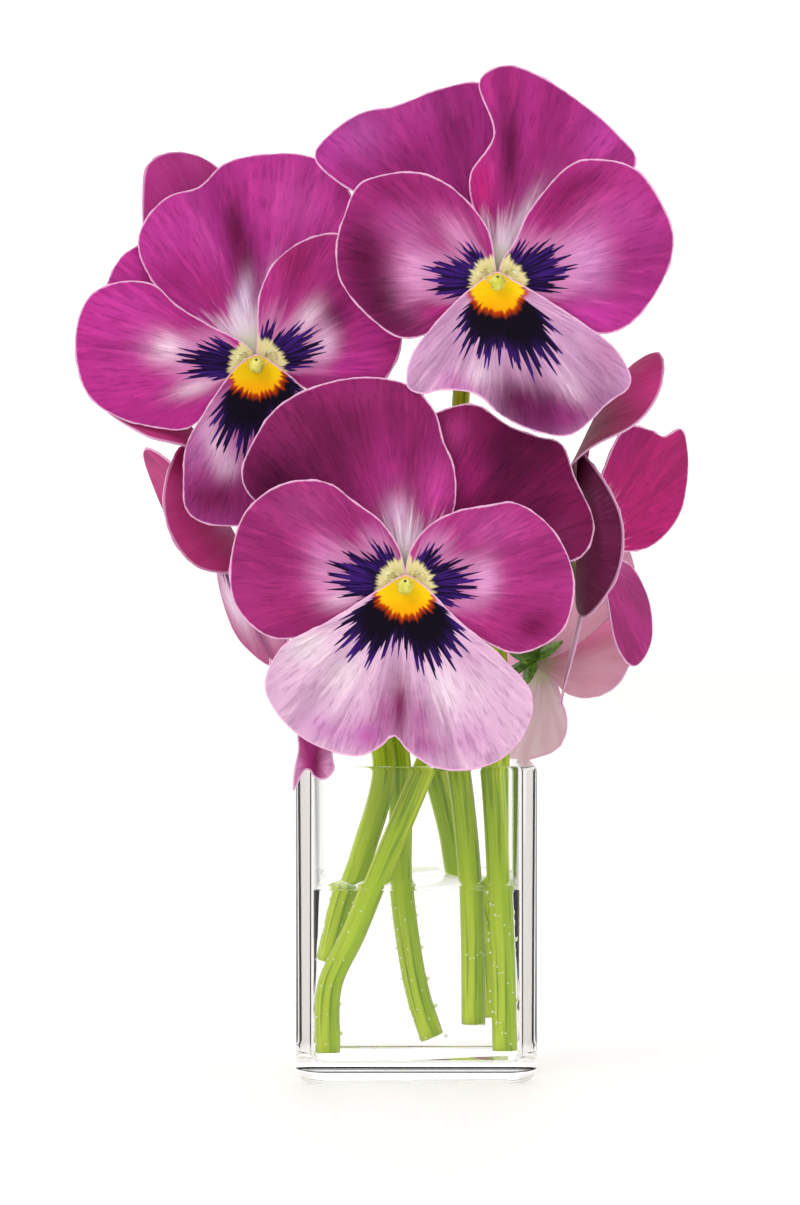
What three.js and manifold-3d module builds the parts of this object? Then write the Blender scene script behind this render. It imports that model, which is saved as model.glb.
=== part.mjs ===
// Pansies in a small square glass vase.
//
// Seven cut pansies stand in a clear thick-walled vase, about two thirds full of water. Each pansy is
// a stem, a calyx of five sepals, two upper petals, two side petals, a lower petal and a pistil. A
// dropped petal lies over the front of the rim.
//
// Millimetres, +Z up. The origin is the middle of the vase's underside. The three largest flowers
// face -Y. The bouquet's layout grows with FLOWER_WIDTH and stands on the vase's rim.

import * as THREE from "three";
import { mergeVertices } from "three/addons/utils/BufferGeometryUtils.js";
import Module from "manifold-3d";

const wasm = await Module();
wasm.setup();

// ---------------------------------------------------------------------------------------------
// Sizes
// ---------------------------------------------------------------------------------------------

const VASE_WIDTH = 42; // outside, flat to flat
const VASE_HEIGHT = 55;
const WALL = 3;
const FLOOR = 3.4; // glass under the water
const CORNER_RADIUS = 5; // upright outside corners
const FOOT_RADIUS = 2.4; // rounding round the underside
const HEEL_RADIUS = 1.5; // rounding round the inside of the floor
const WATER_DEPTH = 30;

const STEM_RADIUS = 2.2;
const STEM_MARGIN = 0.5; // least glass-to-stem distance

const FLOWER_WIDTH = 58; // across the two side petals
const PETAL_THICKNESS = 0.6;
const SEPAL_THICKNESS = 0.9;
const THROAT_DEPTH = 1.6; // how far the petals dip in at the eye
const THROAT_RADIUS = 4.5;
const SWAY = 2.4; // how far a flower's face bends out of its plane
const RUFFLE = 1.1; // how far its rim ripples
const PISTIL_RADIUS = 1.1;
const RECEPTACLE_RADIUS = 2.9; // the swollen stem top that carries the sepals
const RECEPTACLE_LENGTH = 4;

const STRAIGHT_LENGTH = 6; // the straight stem end behind the calyx
const STEM_STEP = 6; // length of stem between two of its rings
const STEM_SIDES = 8;

const CLEARANCE = 0.3; // between any two pieces that touch

// ---------------------------------------------------------------------------------------------
// What follows from the sizes
// ---------------------------------------------------------------------------------------------

const DRAWN_WIDTH = 58; // the outlines and places below are drawn for a flower this wide
const SCALE = FLOWER_WIDTH / DRAWN_WIDTH;
const DRAWN_REACH = 30; // from the eye to a typical rim, as drawn
const LAYER = PETAL_THICKNESS + CLEARANCE; // from one petal's layer to the next
const BACK_LAYER = 3; // the layer of the rearmost petal
const INSIDE = VASE_WIDTH / 2 - WALL; // from the axis to the inner wall
const STEM_REACH = INSIDE - STEM_RADIUS - STEM_MARGIN; // from the axis to the outermost stem
const WATER_LEVEL = FLOOR + WATER_DEPTH;

// The calyx starts behind the rearmost petal, and the stem ends behind the calyx.
const CALYX_DEPTH = BACK_LAYER * LAYER + THROAT_DEPTH + PETAL_THICKNESS / 2 + CLEARANCE;
const STEM_END_DEPTH = CALYX_DEPTH + SEPAL_THICKNESS + RECEPTACLE_LENGTH + CLEARANCE;

const degrees = THREE.MathUtils.degToRad;

// ---------------------------------------------------------------------------------------------
// Solids
// ---------------------------------------------------------------------------------------------

// A geometry with only shared positions left, which is what a closed solid is made of.
function welded(geometry) {
  const plain = geometry.clone();
  plain.deleteAttribute("normal");
  plain.deleteAttribute("uv");
  return mergeVertices(plain, 1e-4);
}

function solidFrom(geometry) {
  const closed = welded(geometry);
  return new wasm.Manifold(
    new wasm.Mesh({
      numProp: 3,
      vertProperties: new Float32Array(closed.attributes.position.array),
      triVerts: new Uint32Array(closed.index.array),
    }),
  );
}

function geometryFrom(solid) {
  const { numProp, vertProperties, triVerts } = solid.getMesh();
  const positions = new Float32Array((vertProperties.length / numProp) * 3);
  for (let i = 0; i < positions.length / 3; i++) {
    positions.set(vertProperties.subarray(i * numProp, i * numProp + 3), i * 3);
  }
  const geometry = new THREE.BufferGeometry();
  geometry.setAttribute("position", new THREE.BufferAttribute(positions, 3));
  geometry.setIndex(new THREE.BufferAttribute(new Uint32Array(triVerts), 1));
  geometry.computeVertexNormals();
  return geometry;
}

// A thin closed sheet: a flattened ball. The ball's equator becomes the outline, its two halves
// become the front and the back face, and shape(point) bends the flat sheet.
function sheetGeometry(outline, thickness, shape, around, rings) {
  const corners = outline.map(([x, y]) => new THREE.Vector3(x * SCALE, y * SCALE, 0));
  const flat = corners.map((p) => new THREE.Vector2(p.x, p.y));
  if (THREE.ShapeUtils.isClockWise(flat)) corners.reverse();
  const rim = new THREE.CatmullRomCurve3(corners, true, "centripetal");
  const middle = new THREE.Vector3();
  for (const p of rim.getSpacedPoints(around).slice(1)) middle.addScaledVector(p, 1 / around);

  const ball = new THREE.SphereGeometry(1, around, 2 * rings);
  const { position, uv } = ball.attributes;
  for (let i = 0; i < position.count; i++) {
    const fromFront = 1 - uv.getY(i); // 0 at the middle of the front, 1 at the middle of the back
    const outwards = 1 - Math.abs(1 - 2 * fromFront);
    const side = fromFront < 0.5 ? 1 : -1;
    const edge = rim.getPointAt(THREE.MathUtils.euclideanModulo(uv.getX(i), 1));
    const point = middle.clone().lerp(edge, outwards);
    point.z = side * (thickness / 2) * (1 - outwards ** 4);
    shape(point);
    position.setXYZ(i, point.x, point.y, point.z);
  }
  return welded(ball);
}

function roundedSquare(width, radius) {
  const half = width / 2;
  const straight = half - radius;
  const shape = new THREE.Shape();
  shape.absarc(straight, straight, radius, 0, Math.PI / 2);
  shape.absarc(-straight, straight, radius, Math.PI / 2, Math.PI);
  shape.absarc(-straight, -straight, radius, Math.PI, 1.5 * Math.PI);
  shape.absarc(straight, -straight, radius, 1.5 * Math.PI, 2 * Math.PI);
  return shape;
}

// A square block with rounded upright corners and a rounded lower edge, from z = bottom to z = top.
function block(width, cornerRadius, edgeRadius, bottom, top) {
  const geometry = new THREE.ExtrudeGeometry(roundedSquare(width, cornerRadius), {
    depth: top - bottom,
    curveSegments: 4,
    bevelEnabled: true,
    bevelSize: edgeRadius,
    bevelOffset: -edgeRadius,
    bevelThickness: edgeRadius,
    bevelSegments: 2,
  });
  geometry.translate(0, 0, bottom + edgeRadius);
  const lid = new THREE.BoxGeometry(2 * width, 2 * width, 4 * edgeRadius);
  lid.translate(0, 0, top + 2 * edgeRadius);
  return solidFrom(geometry).subtract(solidFrom(lid));
}

// A round rod along a curve, from a little before its start if extra is given.
function rodGeometry(curve, radius, extra = 0) {
  const steps = Math.round(curve.getLength() / STEM_STEP);
  const points = curve.getSpacedPoints(steps);
  if (extra > 0) {
    const back = points[0].clone().sub(points[1]).setLength(extra);
    points[0].add(back);
  }
  const section = new THREE.Shape();
  section.absarc(0, 0, radius, 0, 2 * Math.PI);
  return new THREE.ExtrudeGeometry(section, {
    steps,
    curveSegments: STEM_SIDES / 2,
    extrudePath: new THREE.CatmullRomCurve3(points),
  });
}

function named(name, geometry, colour, roughness, more = {}) {
  const material = new THREE.MeshStandardMaterial({ color: colour, roughness, metalness: 0, ...more });
  const mesh = new THREE.Mesh(geometry, material);
  mesh.name = name;
  return mesh;
}

// ---------------------------------------------------------------------------------------------
// Petals
// ---------------------------------------------------------------------------------------------

// A petal is its outline in the flower's own plane (x right, y up, the eye at the origin, seen from
// the front) and how it leaves that plane:
//   aim    the way it points, in degrees anticlockwise from x
//   layer  how many petals lie in front of it where they overlap
//   lean   slope along aim, forwards if positive
//   twist  slope across aim
//   cup    how far its sides stand forward of its middle at the rim
//   wave   height of the ruffles at the rim, with their number a radian and their phase
//   sway   how far it follows the sway and ruffles of the flower's face, 1 for fully
//   turn   turns that sway and those ruffles, in degrees
//   rolls  bends about a straight line: towards (degrees), from (distance), radius and most (degrees)
const PETAL_DEFAULTS = {
  layer: 0,
  lean: 0,
  twist: 0,
  cup: 0,
  wave: 0.5,
  waves: 6,
  phase: 0,
  sway: 1,
  turn: 0,
  rolls: [],
};

// The shape that all the petals of a flower share: it bends like a saddle and ripples near the rim.
function faceHeight(reach, angle, turn) {
  const saddle = SWAY * reach ** 2 * Math.sin(2 * angle + turn);
  return saddle + RUFFLE * reach ** 3 * Math.sin(5 * angle + 2 * turn);
}

function petalHeight(petal, x, y) {
  const aim = degrees(petal.aim);
  const along = x * Math.cos(aim) + y * Math.sin(aim);
  const across = -x * Math.sin(aim) + y * Math.cos(aim);
  const distance = Math.hypot(x, y);
  const reach = distance / (DRAWN_REACH * SCALE);
  const swing = Math.atan2(across, along);
  return (
    petal.sway * faceHeight(reach, Math.atan2(y, x), degrees(petal.turn)) -
    petal.layer * LAYER +
    petal.lean * along +
    petal.twist * across +
    petal.cup * reach ** 2 * Math.sin(swing) ** 2 +
    petal.wave * reach ** 3 * Math.sin(petal.waves * swing + petal.phase) -
    THROAT_DEPTH * Math.exp(-((distance / THROAT_RADIUS) ** 2))
  );
}

// Rolls the part of the sheet past a line round a cylinder, forwards if the radius is positive.
function roll(point, { towards, from, radius, most }) {
  const turn = degrees(towards);
  const ahead = point.x * Math.cos(turn) + point.y * Math.sin(turn);
  const aside = -point.x * Math.sin(turn) + point.y * Math.cos(turn);
  const past = ahead - from * SCALE;
  if (past <= 0) return;
  const bend = radius * SCALE;
  const angle = Math.min(past / Math.abs(bend), degrees(most)) * Math.sign(bend);
  const rest = past - Math.abs(angle * bend);
  const moved = from * SCALE + (bend - point.z) * Math.sin(angle) + rest * Math.cos(angle);
  point.z = bend - (bend - point.z) * Math.cos(angle) + rest * Math.sin(angle);
  point.x = moved * Math.cos(turn) - aside * Math.sin(turn);
  point.y = moved * Math.sin(turn) + aside * Math.cos(turn);
}

function petalGeometry(petal) {
  const bend = (point) => {
    point.z += petalHeight(petal, point.x, point.y);
    for (const each of petal.rolls) roll(point, each);
  };
  return sheetGeometry(petal.outline, PETAL_THICKNESS, bend, 22, 3);
}

const mirrored = (outline) => outline.map(([x, y]) => [-x, y]);
const shrunk = (outline, share) => outline.map(([x, y]) => [share * x, share * y]);

// The usual outlines, for the flowers that are seen from the side or from behind.
const UPPER = [[1, 1.5], [-2, 13], [-2, 24], [1, 31], [8, 35], [16, 33], [22, 27], [24, 19], [18, 10],
  [9, 4]];
const SIDE = [[0.4, -0.5], [0.6, 4], [3, 8.5], [8, 14], [16, 17], [24, 14], [28, 7], [27, -2],
  [21, -6.5], [13, -6.5],
  [5, -2.5]];
const LOWER = [[0, 2.2], [-3, 0.6], [-10, -7], [-16, -14], [-17, -21], [-11, -26], [-4, -27.5], [0, -26],
  [4, -27.5], [11, -26], [17, -21], [16, -14], [10, -7], [3, 0.6]];

function usualPetals(changes = {}) {
  return {
    upper_left: { outline: mirrored(UPPER), aim: 115, layer: 3, lean: -0.16, cup: 1, ...changes.upper_left },
    upper_right: { outline: UPPER, aim: 65, layer: 2, lean: -0.14, cup: 1, ...changes.upper_right },
    side_left: { outline: mirrored(SIDE), aim: 172, layer: 1, lean: 0.04, ...changes.side_left },
    side_right: { outline: SIDE, aim: 8, layer: 1, lean: 0.04, phase: 2, ...changes.side_right },
    lower: { outline: LOWER, aim: 270, lean: 0.1, cup: -0.6, ...changes.lower },
  };
}

// ---------------------------------------------------------------------------------------------
// The seven flowers
// ---------------------------------------------------------------------------------------------
//
// eye     where its eye is: x, y and the height over the vase's rim
// faces   the way it looks
// sway    how far its petals follow the sway of its face, and
// turn    which way that sway lies, in degrees
// size    its size beside a full flower
// foot    the stem's route inside the vase: x and y as shares of the stems' reach, and z as the
//         share of the way from the floor to the rim
// route   the stem's route over the rim: x, y and the height over the rim

const FLOWERS = [
  {
    name: "top",
    sway: 1,
    turn: 0,
    eye: [13.9, -26, 83.2],
    faces: [0, -1, 0],
    size: 1,
    foot: [[1, -0.5, 0.02], [0.97, -0.5, 0.4], [0.87, -0.4, 0.95]],
    route: [[10.4, -3, 20], [8.5, -4, 45], [8, -7, 66], [11, -10, 80]],
    petals: {
      upper_left: {
        outline: [[-1, 1.5], [-16, 11.6], [-29, 19.4], [-31.8, 23.3], [-28.5, 27.7], [-23.3, 31],
          [-17.6, 31.9],
          [-10.4, 34.5], [-3.1, 35.5], [2, 32], [3, 20]],
        aim: 118,
        layer: 3,
        lean: -0.16,
        phase: 1,
      },
      upper_right: {
        outline: [[0.5, 1.5], [-4.1, 13], [-4.7, 19], [-0.6, 26], [-3.1, 35.5], [1.3, 38], [6.7, 36.5],
          [15.5, 31.1],
          [21.2, 25.9], [24.1, 21.5], [16, 11]],
        aim: 72,
        layer: 2,
        lean: -0.14,
        cup: 0.8,
      },
      side_left: {
        outline: [[-0.4, -0.5], [-0.5, 4.5], [-1.8, 9.8], [-7.3, 16.3], [-13, 19.2], [-18.5, 19.2],
          [-23.8, 17.3], [-26.2, 12.5],
          [-27.8, 6.5], [-27.2, 0.8], [-23.8, -4.1], [-17.1, -9.3], [-13, -9.1], [-6, -4.5]],
        aim: 165,
        layer: 1,
        lean: 0.04,
        phase: 2,
      },
      side_right: {
        outline: [[0.4, -0.5], [0.7, 4], [2.8, 7], [5.4, 12.5], [13, 20.7], [18, 21.2], [23.4, 19.6],
          [27.5, 14.5],
          [30.2, 7.5], [28.5, 0.5], [22.3, -7.3], [17, -8.5], [7, -4]],
        aim: 20,
        layer: 1,
        lean: 0.04,
      },
      lower: {
        outline: [[0, 2.2], [-3, 0.6], [-10.9, -7], [-15, -13], [-15.5, -18.1], [-13, -19.2],
          [-9.8, -18.5], [-3.6, -19.2],
          [0.5, -22.8], [6.7, -25.6], [12.5, -26.2], [19, -20.6], [22.9, -17.3], [20.7, -11.7],
            [13, -5.7], [3, 0.6]],
        aim: 280,
        lean: 0.12,
        cup: -0.6,
      },
    },
  },
  {
    name: "left",
    sway: 1,
    turn: 100,
    eye: [-27.8, -16, 69.5],
    faces: [0, -1, 0],
    size: 1,
    foot: [[0.18, 0, 0.05], [0.02, 0, 0.18], [-0.1, 0, 0.35], [-0.18, 0, 0.55], [-0.2, 0, 1]],
    route: [[-8, 1, 25], [-19, 0, 48], [-27.3, 2.4, 63]],
    petals: {
      upper_left: {
        outline: [[-1, 1.5], [-16, 6], [-28, 9.5], [-26.6, 14.8], [-23.8, 19.8], [-19, 22.5], [-12, 25],
          [-5, 22], [-1, 12]],
        aim: 115,
        layer: 3,
        lean: -0.16,
      },
      upper_right: {
        outline: [[-1, 1.5], [-11.5, 8.5], [-18.6, 15.3], [-21, 21.9], [-19.1, 26.8], [-15.3, 30.3],
          [-10.5, 31.8],
          [-6, 36.4], [1.6, 38.4], [9.3, 37.7], [15, 33], [17.5, 25], [13, 13], [3, 3]],
        aim: 98,
        layer: 2,
        lean: -0.14,
        cup: 1.2,
      },
      side_left: {
        outline: [[-0.4, -0.5], [-1, 3], [-8.7, 7.5], [-14, 10.8], [-17.8, 14.2], [-23.5, 14.8],
          [-28.7, 12.6], [-31.1, 7.7],
          [-31.2, 0.5], [-29, -5.5], [-24.1, -9], [-17.5, -10.7], [-12, -10.8], [-5, -4.5]],
        aim: 175,
        layer: 1,
        lean: 0.04,
        phase: 1,
      },
      side_right: {
        outline: [[0.4, -0.5], [0.1, 6.5], [0.5, 13.1], [3.3, 18.6], [8.2, 22.1], [13.9, 23.2],
          [20, 20], [24.5, 13],
          [25.4, 5], [23, -1.6], [18, -5.5], [12, -5.5], [5, -2]],
        aim: 30,
        layer: 1,
        lean: 0.04,
      },
      lower: {
        outline: [[0, 2.2], [-3, 0.6], [-9.3, -8.2], [-12.3, -13.7], [-12.8, -19.1], [-12.3, -25],
          [-9.3, -27.3], [-3.3, -27.9],
          [4, -27], [11, -22], [14, -15], [11, -7], [3, 0.6]],
        aim: 268,
        lean: 0.1,
        cup: -0.6,
      },
    },
  },
  {
    name: "front",
    sway: 1,
    turn: 230,
    eye: [-2, -33, 31],
    faces: [0, -1, 0],
    size: 1,
    foot: [[0.65, -0.33, 0.1], [0.64, -0.33, 0.4], [0.6, -0.33, 0.65], [0.46, -0.33, 1]],
    route: [[3.5, -8, 16], [-0.5, -13, 27]],
    petals: {
      upper_left: {
        outline: [[-1, 1.5], [-14, 9], [-26.3, 15.3], [-28, 19.5], [-26, 25], [-22, 30.7],
          [-15.3, 34.5], [-6.6, 36.1],
          [1, 34.5], [5.1, 30.2], [6.6, 25.1], [8.4, 20.5], [8.4, 13.3], [3, 3]],
        aim: 112,
        layer: 2,
        lean: -0.14,
        cup: 0.8,
      },
      upper_right: {
        outline: [[1, 1.5], [0.4, 16], [1.2, 27], [5.1, 29.9], [11.8, 31.5], [17.9, 27.9], [23, 26.1],
          [26.9, 25],
          [29.4, 19], [32.7, 10.7], [30.2, 5.1], [16, 4]],
        aim: 45,
        layer: 3,
        lean: -0.16,
        phase: 2,
      },
      side_left: {
        outline: [[-0.4, -0.5], [-0.6, 5.6], [-4.1, 11.3], [-8.2, 14.3], [-13.3, 17.9], [-20.5, 17.7],
          [-26.9, 13.3],
          [-29.6, 6], [-29.2, -2.6], [-23.5, -8.4], [-17, -8.4], [-6, -4]],
        aim: 165,
        layer: 1,
        lean: 0.04,
      },
      side_right: {
        outline: [[0.4, -0.5], [0.6, 5.6], [3.6, 10.2], [8.7, 13], [14.8, 14.1], [18.4, 14.6],
          [24, 11.3], [28, 5],
          [28.8, -1], [26.6, -7.7], [19.4, -11.3], [14, -9.5], [6, -4]],
        aim: 5,
        layer: 1,
        lean: 0.04,
        phase: 2,
      },
      lower: {
        outline: [[0, 2.2], [-3, 0.6], [-12.8, -5.6], [-21, -10.2], [-23.9, -16.9], [-21, -22.5],
          [-15.3, -26.9], [-7.7, -28.7],
          [-4, -27], [-2, -25.2], [0.5, -27.8], [6.1, -30.8], [15.3, -29.7], [20.5, -24.5], [21.6, -18.4],
          [16.4, -11.8], [9, -5.5], [3, 0.6]],
        aim: 268,
        lean: 0.06,
        cup: -0.6,
      },
    },
  },
  {
    name: "right",
    sway: 0,
    turn: 0,
    eye: [32, 2, 37.7],
    faces: [0.906, -0.423, 0],
    size: 1,
    foot: [[-1, -0.8, 0.02], [-0.98, -0.8, 0.24], [-0.71, -0.8, 0.41], [-0.37, -0.8, 0.65],
      [-0.07, -0.8, 0.86]],
    route: [[2.7, -12, 2], [11, -10, 17], [17, -1, 32]],
    petals: usualPetals({
      upper_left: {
        outline: [[-1, 1.5], [-11, 8], [-21, 17], [-24, 26], [-17, 35], [-6, 38], [-1, 31], [0, 16]],
        lean: 0,
        layer: 2,
        rolls: [{ towards: 126, from: 10, radius: 18, most: 75 }],
      },
      upper_right: {
        outline: [[1.4, 1.7], [3, 14], [8, 22], [16, 22], [21, 21], [27, 22.5], [32, 17], [31, 8],
          [22, 1], [10, 0]],
        aim: 40,
        layer: 3,
        lean: 0.24,
      },
      side_left: {
        outline: [[-0.4, -0.5], [-4, 10], [-15, 16.5], [-23, 13], [-28, 5], [-26, -6], [-18, -12],
          [-7, -6]],
        rolls: [{ towards: 180, from: 4, radius: 18, most: 80 }],
      },
      side_right: {
        outline: [[0.8, 0.6], [10, -1], [19, -3], [26, -9], [26, -16], [19, -21], [11, -17], [6, -7]],
        aim: -30,
        lean: 0.02,
      },
      lower: {
        outline: [[0, 1.5], [-6, -6], [-10, -17], [-8, -25], [0, -28], [8, -25], [9, -17], [3, -6]],
        lean: -0.25,
        twist: -0.46,
      },
    }),
  },
  {
    name: "far_left",
    sway: 0,
    turn: 0,
    eye: [-36.5, 12, 42],
    faces: [-0.83, -0.25, -0.5],
    size: 1,
    foot: [[-1, -0.4, 0.3], [-0.86, -0.4, 0.47], [-0.62, -0.4, 0.67], [-0.37, -0.4, 1]],
    route: [[-13, -5, 18], [-20, 3, 34]],
    petals: usualPetals({
      upper_left: { outline: mirrored(shrunk(UPPER, 0.6)) },
      upper_right: { rolls: [{ towards: 50, from: 13, radius: 15, most: 70 }] },
      side_right: { rolls: [{ towards: 0, from: 8, radius: 14, most: 75 }] },
    }),
  },
  {
    name: "low",
    sway: 1,
    turn: 60,
    eye: [24, 35.5, 15.6],
    faces: [0.62, 0.5, -0.6],
    size: 0.75,
    foot: [[0.97, 0.87, 0.3], [0.97, 0.87, 0.6], [0.97, 0.9, 1]],
    route: [[15, 19, 15]],
    petals: usualPetals(),
  },
  {
    name: "back",
    sway: 1,
    turn: 150,
    eye: [-36, 17, 77],
    faces: [-0.45, 0.8, 0.4],
    size: 0.8,
    foot: [[0.91, 0.47, 0.1], [0.8, 0.47, 0.37], [0.51, 0.47, 0.55], [0.39, 0.47, 0.73], [0.2, 0.47, 0.94]],
    route: [[-3, 8, 20], [-12, 9, 43], [-21.5, 9, 62]],
    petals: usualPetals({
      upper_right: { rolls: [{ towards: 70, from: 22, radius: 9, most: 80 }] },
      side_right: { rolls: [{ towards: 0, from: 8, radius: 12, most: 80 }] },
      lower: { outline: shrunk(LOWER, 0.65) },
    }),
  },
];

// The turn that points z the way a flower faces, with y as near upright as it can be.
function facing(direction) {
  const z = new THREE.Vector3(...direction).normalize();
  const x = new THREE.Vector3(0, 0, 1).cross(z).normalize();
  const y = z.clone().cross(x);
  return new THREE.Quaternion().setFromRotationMatrix(new THREE.Matrix4().makeBasis(x, y, z));
}

const onRim = ([x, y, rise]) => new THREE.Vector3(x * SCALE, y * SCALE, VASE_HEIGHT + rise * SCALE);

const inVase = ([x, y, share]) =>
  new THREE.Vector3(x * STEM_REACH, y * STEM_REACH, FLOOR + STEM_MARGIN + share * (VASE_HEIGHT - FLOOR));

// From the cut end in the water to the back of the calyx, which it meets square on.
function stemCurve(flower) {
  const eye = onRim(flower.eye);
  const forward = new THREE.Vector3(...flower.faces).normalize();
  const end = eye.clone().addScaledVector(forward, -STEM_END_DEPTH * flower.size);
  const approach = end.clone().addScaledVector(forward, -STRAIGHT_LENGTH);
  return new THREE.CatmullRomCurve3([
    ...flower.foot.map(inVase),
    ...flower.route.map(onRim),
    approach,
    end,
  ]);
}

// ---------------------------------------------------------------------------------------------
// The other parts of a flower
// ---------------------------------------------------------------------------------------------

const SEPAL = [[0, 0.5], [-1.9, 3], [-2.1, 6], [-1.2, 9.5], [0, 12], [1.2, 9.5], [2.1, 6], [1.9, 3]];
const SEPALS = 5;
const SEPAL_LEAN = -0.2;

// Five pointed sepals on the swollen top of the stem, as one piece. z = 0 is the flower's eye.
function calyxGeometry() {
  const front = -CALYX_DEPTH - SEPAL_THICKNESS / 2;
  const lay = (point) => {
    point.z += front + SEPAL_LEAN * Math.hypot(point.x, point.y);
  };
  const profile = [
    [0, front],
    [RECEPTACLE_RADIUS * 0.9, front],
    [RECEPTACLE_RADIUS, front - RECEPTACLE_LENGTH * 0.3],
    [STEM_RADIUS, front - RECEPTACLE_LENGTH],
    [0, front - RECEPTACLE_LENGTH],
  ];
  const cup = new THREE.LatheGeometry(profile.reverse().map(([r, z]) => new THREE.Vector2(r, z)), 12);
  cup.rotateX(Math.PI / 2);
  let whole = solidFrom(cup);
  for (let i = 0; i < SEPALS; i++) {
    const sepal = sheetGeometry(SEPAL, SEPAL_THICKNESS, lay, 8, 1);
    sepal.rotateZ((2 * Math.PI * i) / SEPALS);
    whole = whole.add(solidFrom(sepal));
  }
  return geometryFrom(whole);
}

// The knob that fills the eye, on a short neck.
function pistilGeometry() {
  const knob = new THREE.SphereGeometry(PISTIL_RADIUS, 8, 5);
  knob.scale(1, 1, 1.2);
  knob.translate(0, 0.2, PISTIL_RADIUS * 1.2 + CLEARANCE - THROAT_DEPTH * 0.6 + PETAL_THICKNESS / 2);
  return knob;
}

const PETAL_COLOUR = 0xa82a7a;
const PALE_PETAL_COLOUR = 0xdda0c8;
const SEPAL_COLOUR = 0x6f9a2c;
const STEM_COLOUR = 0x8cb810;
const PISTIL_COLOUR = 0xc8c040;

function flowerGroup(flower) {
  const group = new THREE.Group();
  const head = new THREE.Group();
  head.position.copy(onRim(flower.eye));
  head.quaternion.copy(facing(flower.faces));
  head.scale.setScalar(flower.size);
  for (const [place, petal] of Object.entries(flower.petals)) {
    const geometry = petalGeometry({ ...PETAL_DEFAULTS, sway: flower.sway, turn: flower.turn, ...petal });
    const colour = place === "lower" ? PALE_PETAL_COLOUR : PETAL_COLOUR;
    head.add(named(`${flower.name}_${place}_petal`, geometry, colour, 0.6));
  }
  head.add(named(`${flower.name}_calyx`, calyxGeometry(), SEPAL_COLOUR, 0.55));
  head.add(named(`${flower.name}_pistil`, pistilGeometry(), PISTIL_COLOUR, 0.5));
  const rod = rodGeometry(stemCurve(flower), STEM_RADIUS);
  group.add(head, named(`${flower.name}_stem`, rod, STEM_COLOUR, 0.45));
  return group;
}

// A dropped petal lies over the front of the rim. Its place is x, y and the height over the rim.
const LOOSE_PETAL = {
  ...PETAL_DEFAULTS,
  place: [-17.9, -25.2, 1.2],
  outline: [[-2.6, 4], [-3.3, -5.3], [-1, -1.3], [0.3, -2.9], [2, -3.3], [3.6, -1.8], [3.4, 2], [3, 10],
    [0, 15],
    [-2.6, 10]],
  aim: 270,
  rolls: [{ towards: 90, from: -2, radius: -4, most: 65 }],
};

function loosePetal() {
  const mesh = named("loose_petal", petalGeometry(LOOSE_PETAL), PETAL_COLOUR, 0.6);
  mesh.position.copy(onRim(LOOSE_PETAL.place));
  mesh.quaternion.copy(facing([0, -1, 0]));
  return mesh;
}

// ---------------------------------------------------------------------------------------------
// The vase and its water
// ---------------------------------------------------------------------------------------------

function vaseGeometry() {
  const cavityWidth = 2 * INSIDE;
  const outside = block(VASE_WIDTH, CORNER_RADIUS, FOOT_RADIUS, 0, VASE_HEIGHT);
  const aboveRim = VASE_HEIGHT + CORNER_RADIUS;
  const cavity = block(cavityWidth, CORNER_RADIUS - WALL + HEEL_RADIUS, HEEL_RADIUS, FLOOR, aboveRim);
  return geometryFrom(outside.subtract(cavity));
}

// The water fills the cavity and leaves a channel for each stem.
function waterGeometry() {
  const width = 2 * (INSIDE - CLEARANCE);
  let water = block(width, CORNER_RADIUS - WALL + HEEL_RADIUS, HEEL_RADIUS, FLOOR + CLEARANCE, WATER_LEVEL);
  for (const flower of FLOWERS) {
    const channel = rodGeometry(stemCurve(flower), STEM_RADIUS + CLEARANCE, CLEARANCE);
    water = water.subtract(solidFrom(channel));
  }
  return geometryFrom(water);
}

const bouquet = new THREE.Group();
bouquet.add(named("vase", vaseGeometry(), 0xe8eceb, 0.05, { transparent: true, opacity: 0.3 }));
bouquet.add(named("water", waterGeometry(), 0xeef4f2, 0.02, { transparent: true, opacity: 0.3 }));
for (const flower of FLOWERS) {
  bouquet.add(flowerGroup(flower));
}
bouquet.add(loosePetal());

export default bouquet;
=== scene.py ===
"""Pansies in a small square glass vase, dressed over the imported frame.

Sizes are millimetres and become metres as each mesh is made. The frame is the part's own: +Z up,
the origin under the middle of the vase, the three largest flowers facing -Y.
"""

from __future__ import annotations

import logging
import math
from dataclasses import dataclass, replace
from enum import Enum
from typing import Iterable, Sequence

import bmesh
import bpy
import numpy as np
from mathutils import Matrix, Vector, noise


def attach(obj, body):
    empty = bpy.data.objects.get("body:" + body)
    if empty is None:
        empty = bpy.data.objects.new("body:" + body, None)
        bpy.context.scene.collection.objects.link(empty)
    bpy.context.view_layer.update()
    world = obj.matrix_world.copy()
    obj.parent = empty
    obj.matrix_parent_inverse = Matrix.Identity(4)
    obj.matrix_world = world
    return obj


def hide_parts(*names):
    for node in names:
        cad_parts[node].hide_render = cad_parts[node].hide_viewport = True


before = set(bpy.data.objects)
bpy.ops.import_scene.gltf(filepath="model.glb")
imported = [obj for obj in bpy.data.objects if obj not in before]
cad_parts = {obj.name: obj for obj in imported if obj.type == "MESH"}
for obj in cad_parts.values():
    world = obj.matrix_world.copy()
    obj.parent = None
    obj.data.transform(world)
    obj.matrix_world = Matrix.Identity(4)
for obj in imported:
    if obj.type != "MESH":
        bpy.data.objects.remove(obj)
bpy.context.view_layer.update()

LOG = logging.getLogger("pansies")

MM = 0.001
VASE_HEIGHT = 55.0
VASE_WIDTH = 42.0
WALL = 3.0
FLOOR = 3.4
WATER_LEVEL = 33.4
STEM_RADIUS = 2.2
PETAL_LAYER = 0.9
THROAT_DEPTH = 1.6
THROAT_RADIUS = 4.5
SWAY = 2.4
RUFFLE = 1.1
DRAWN_REACH = 30.0

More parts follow.
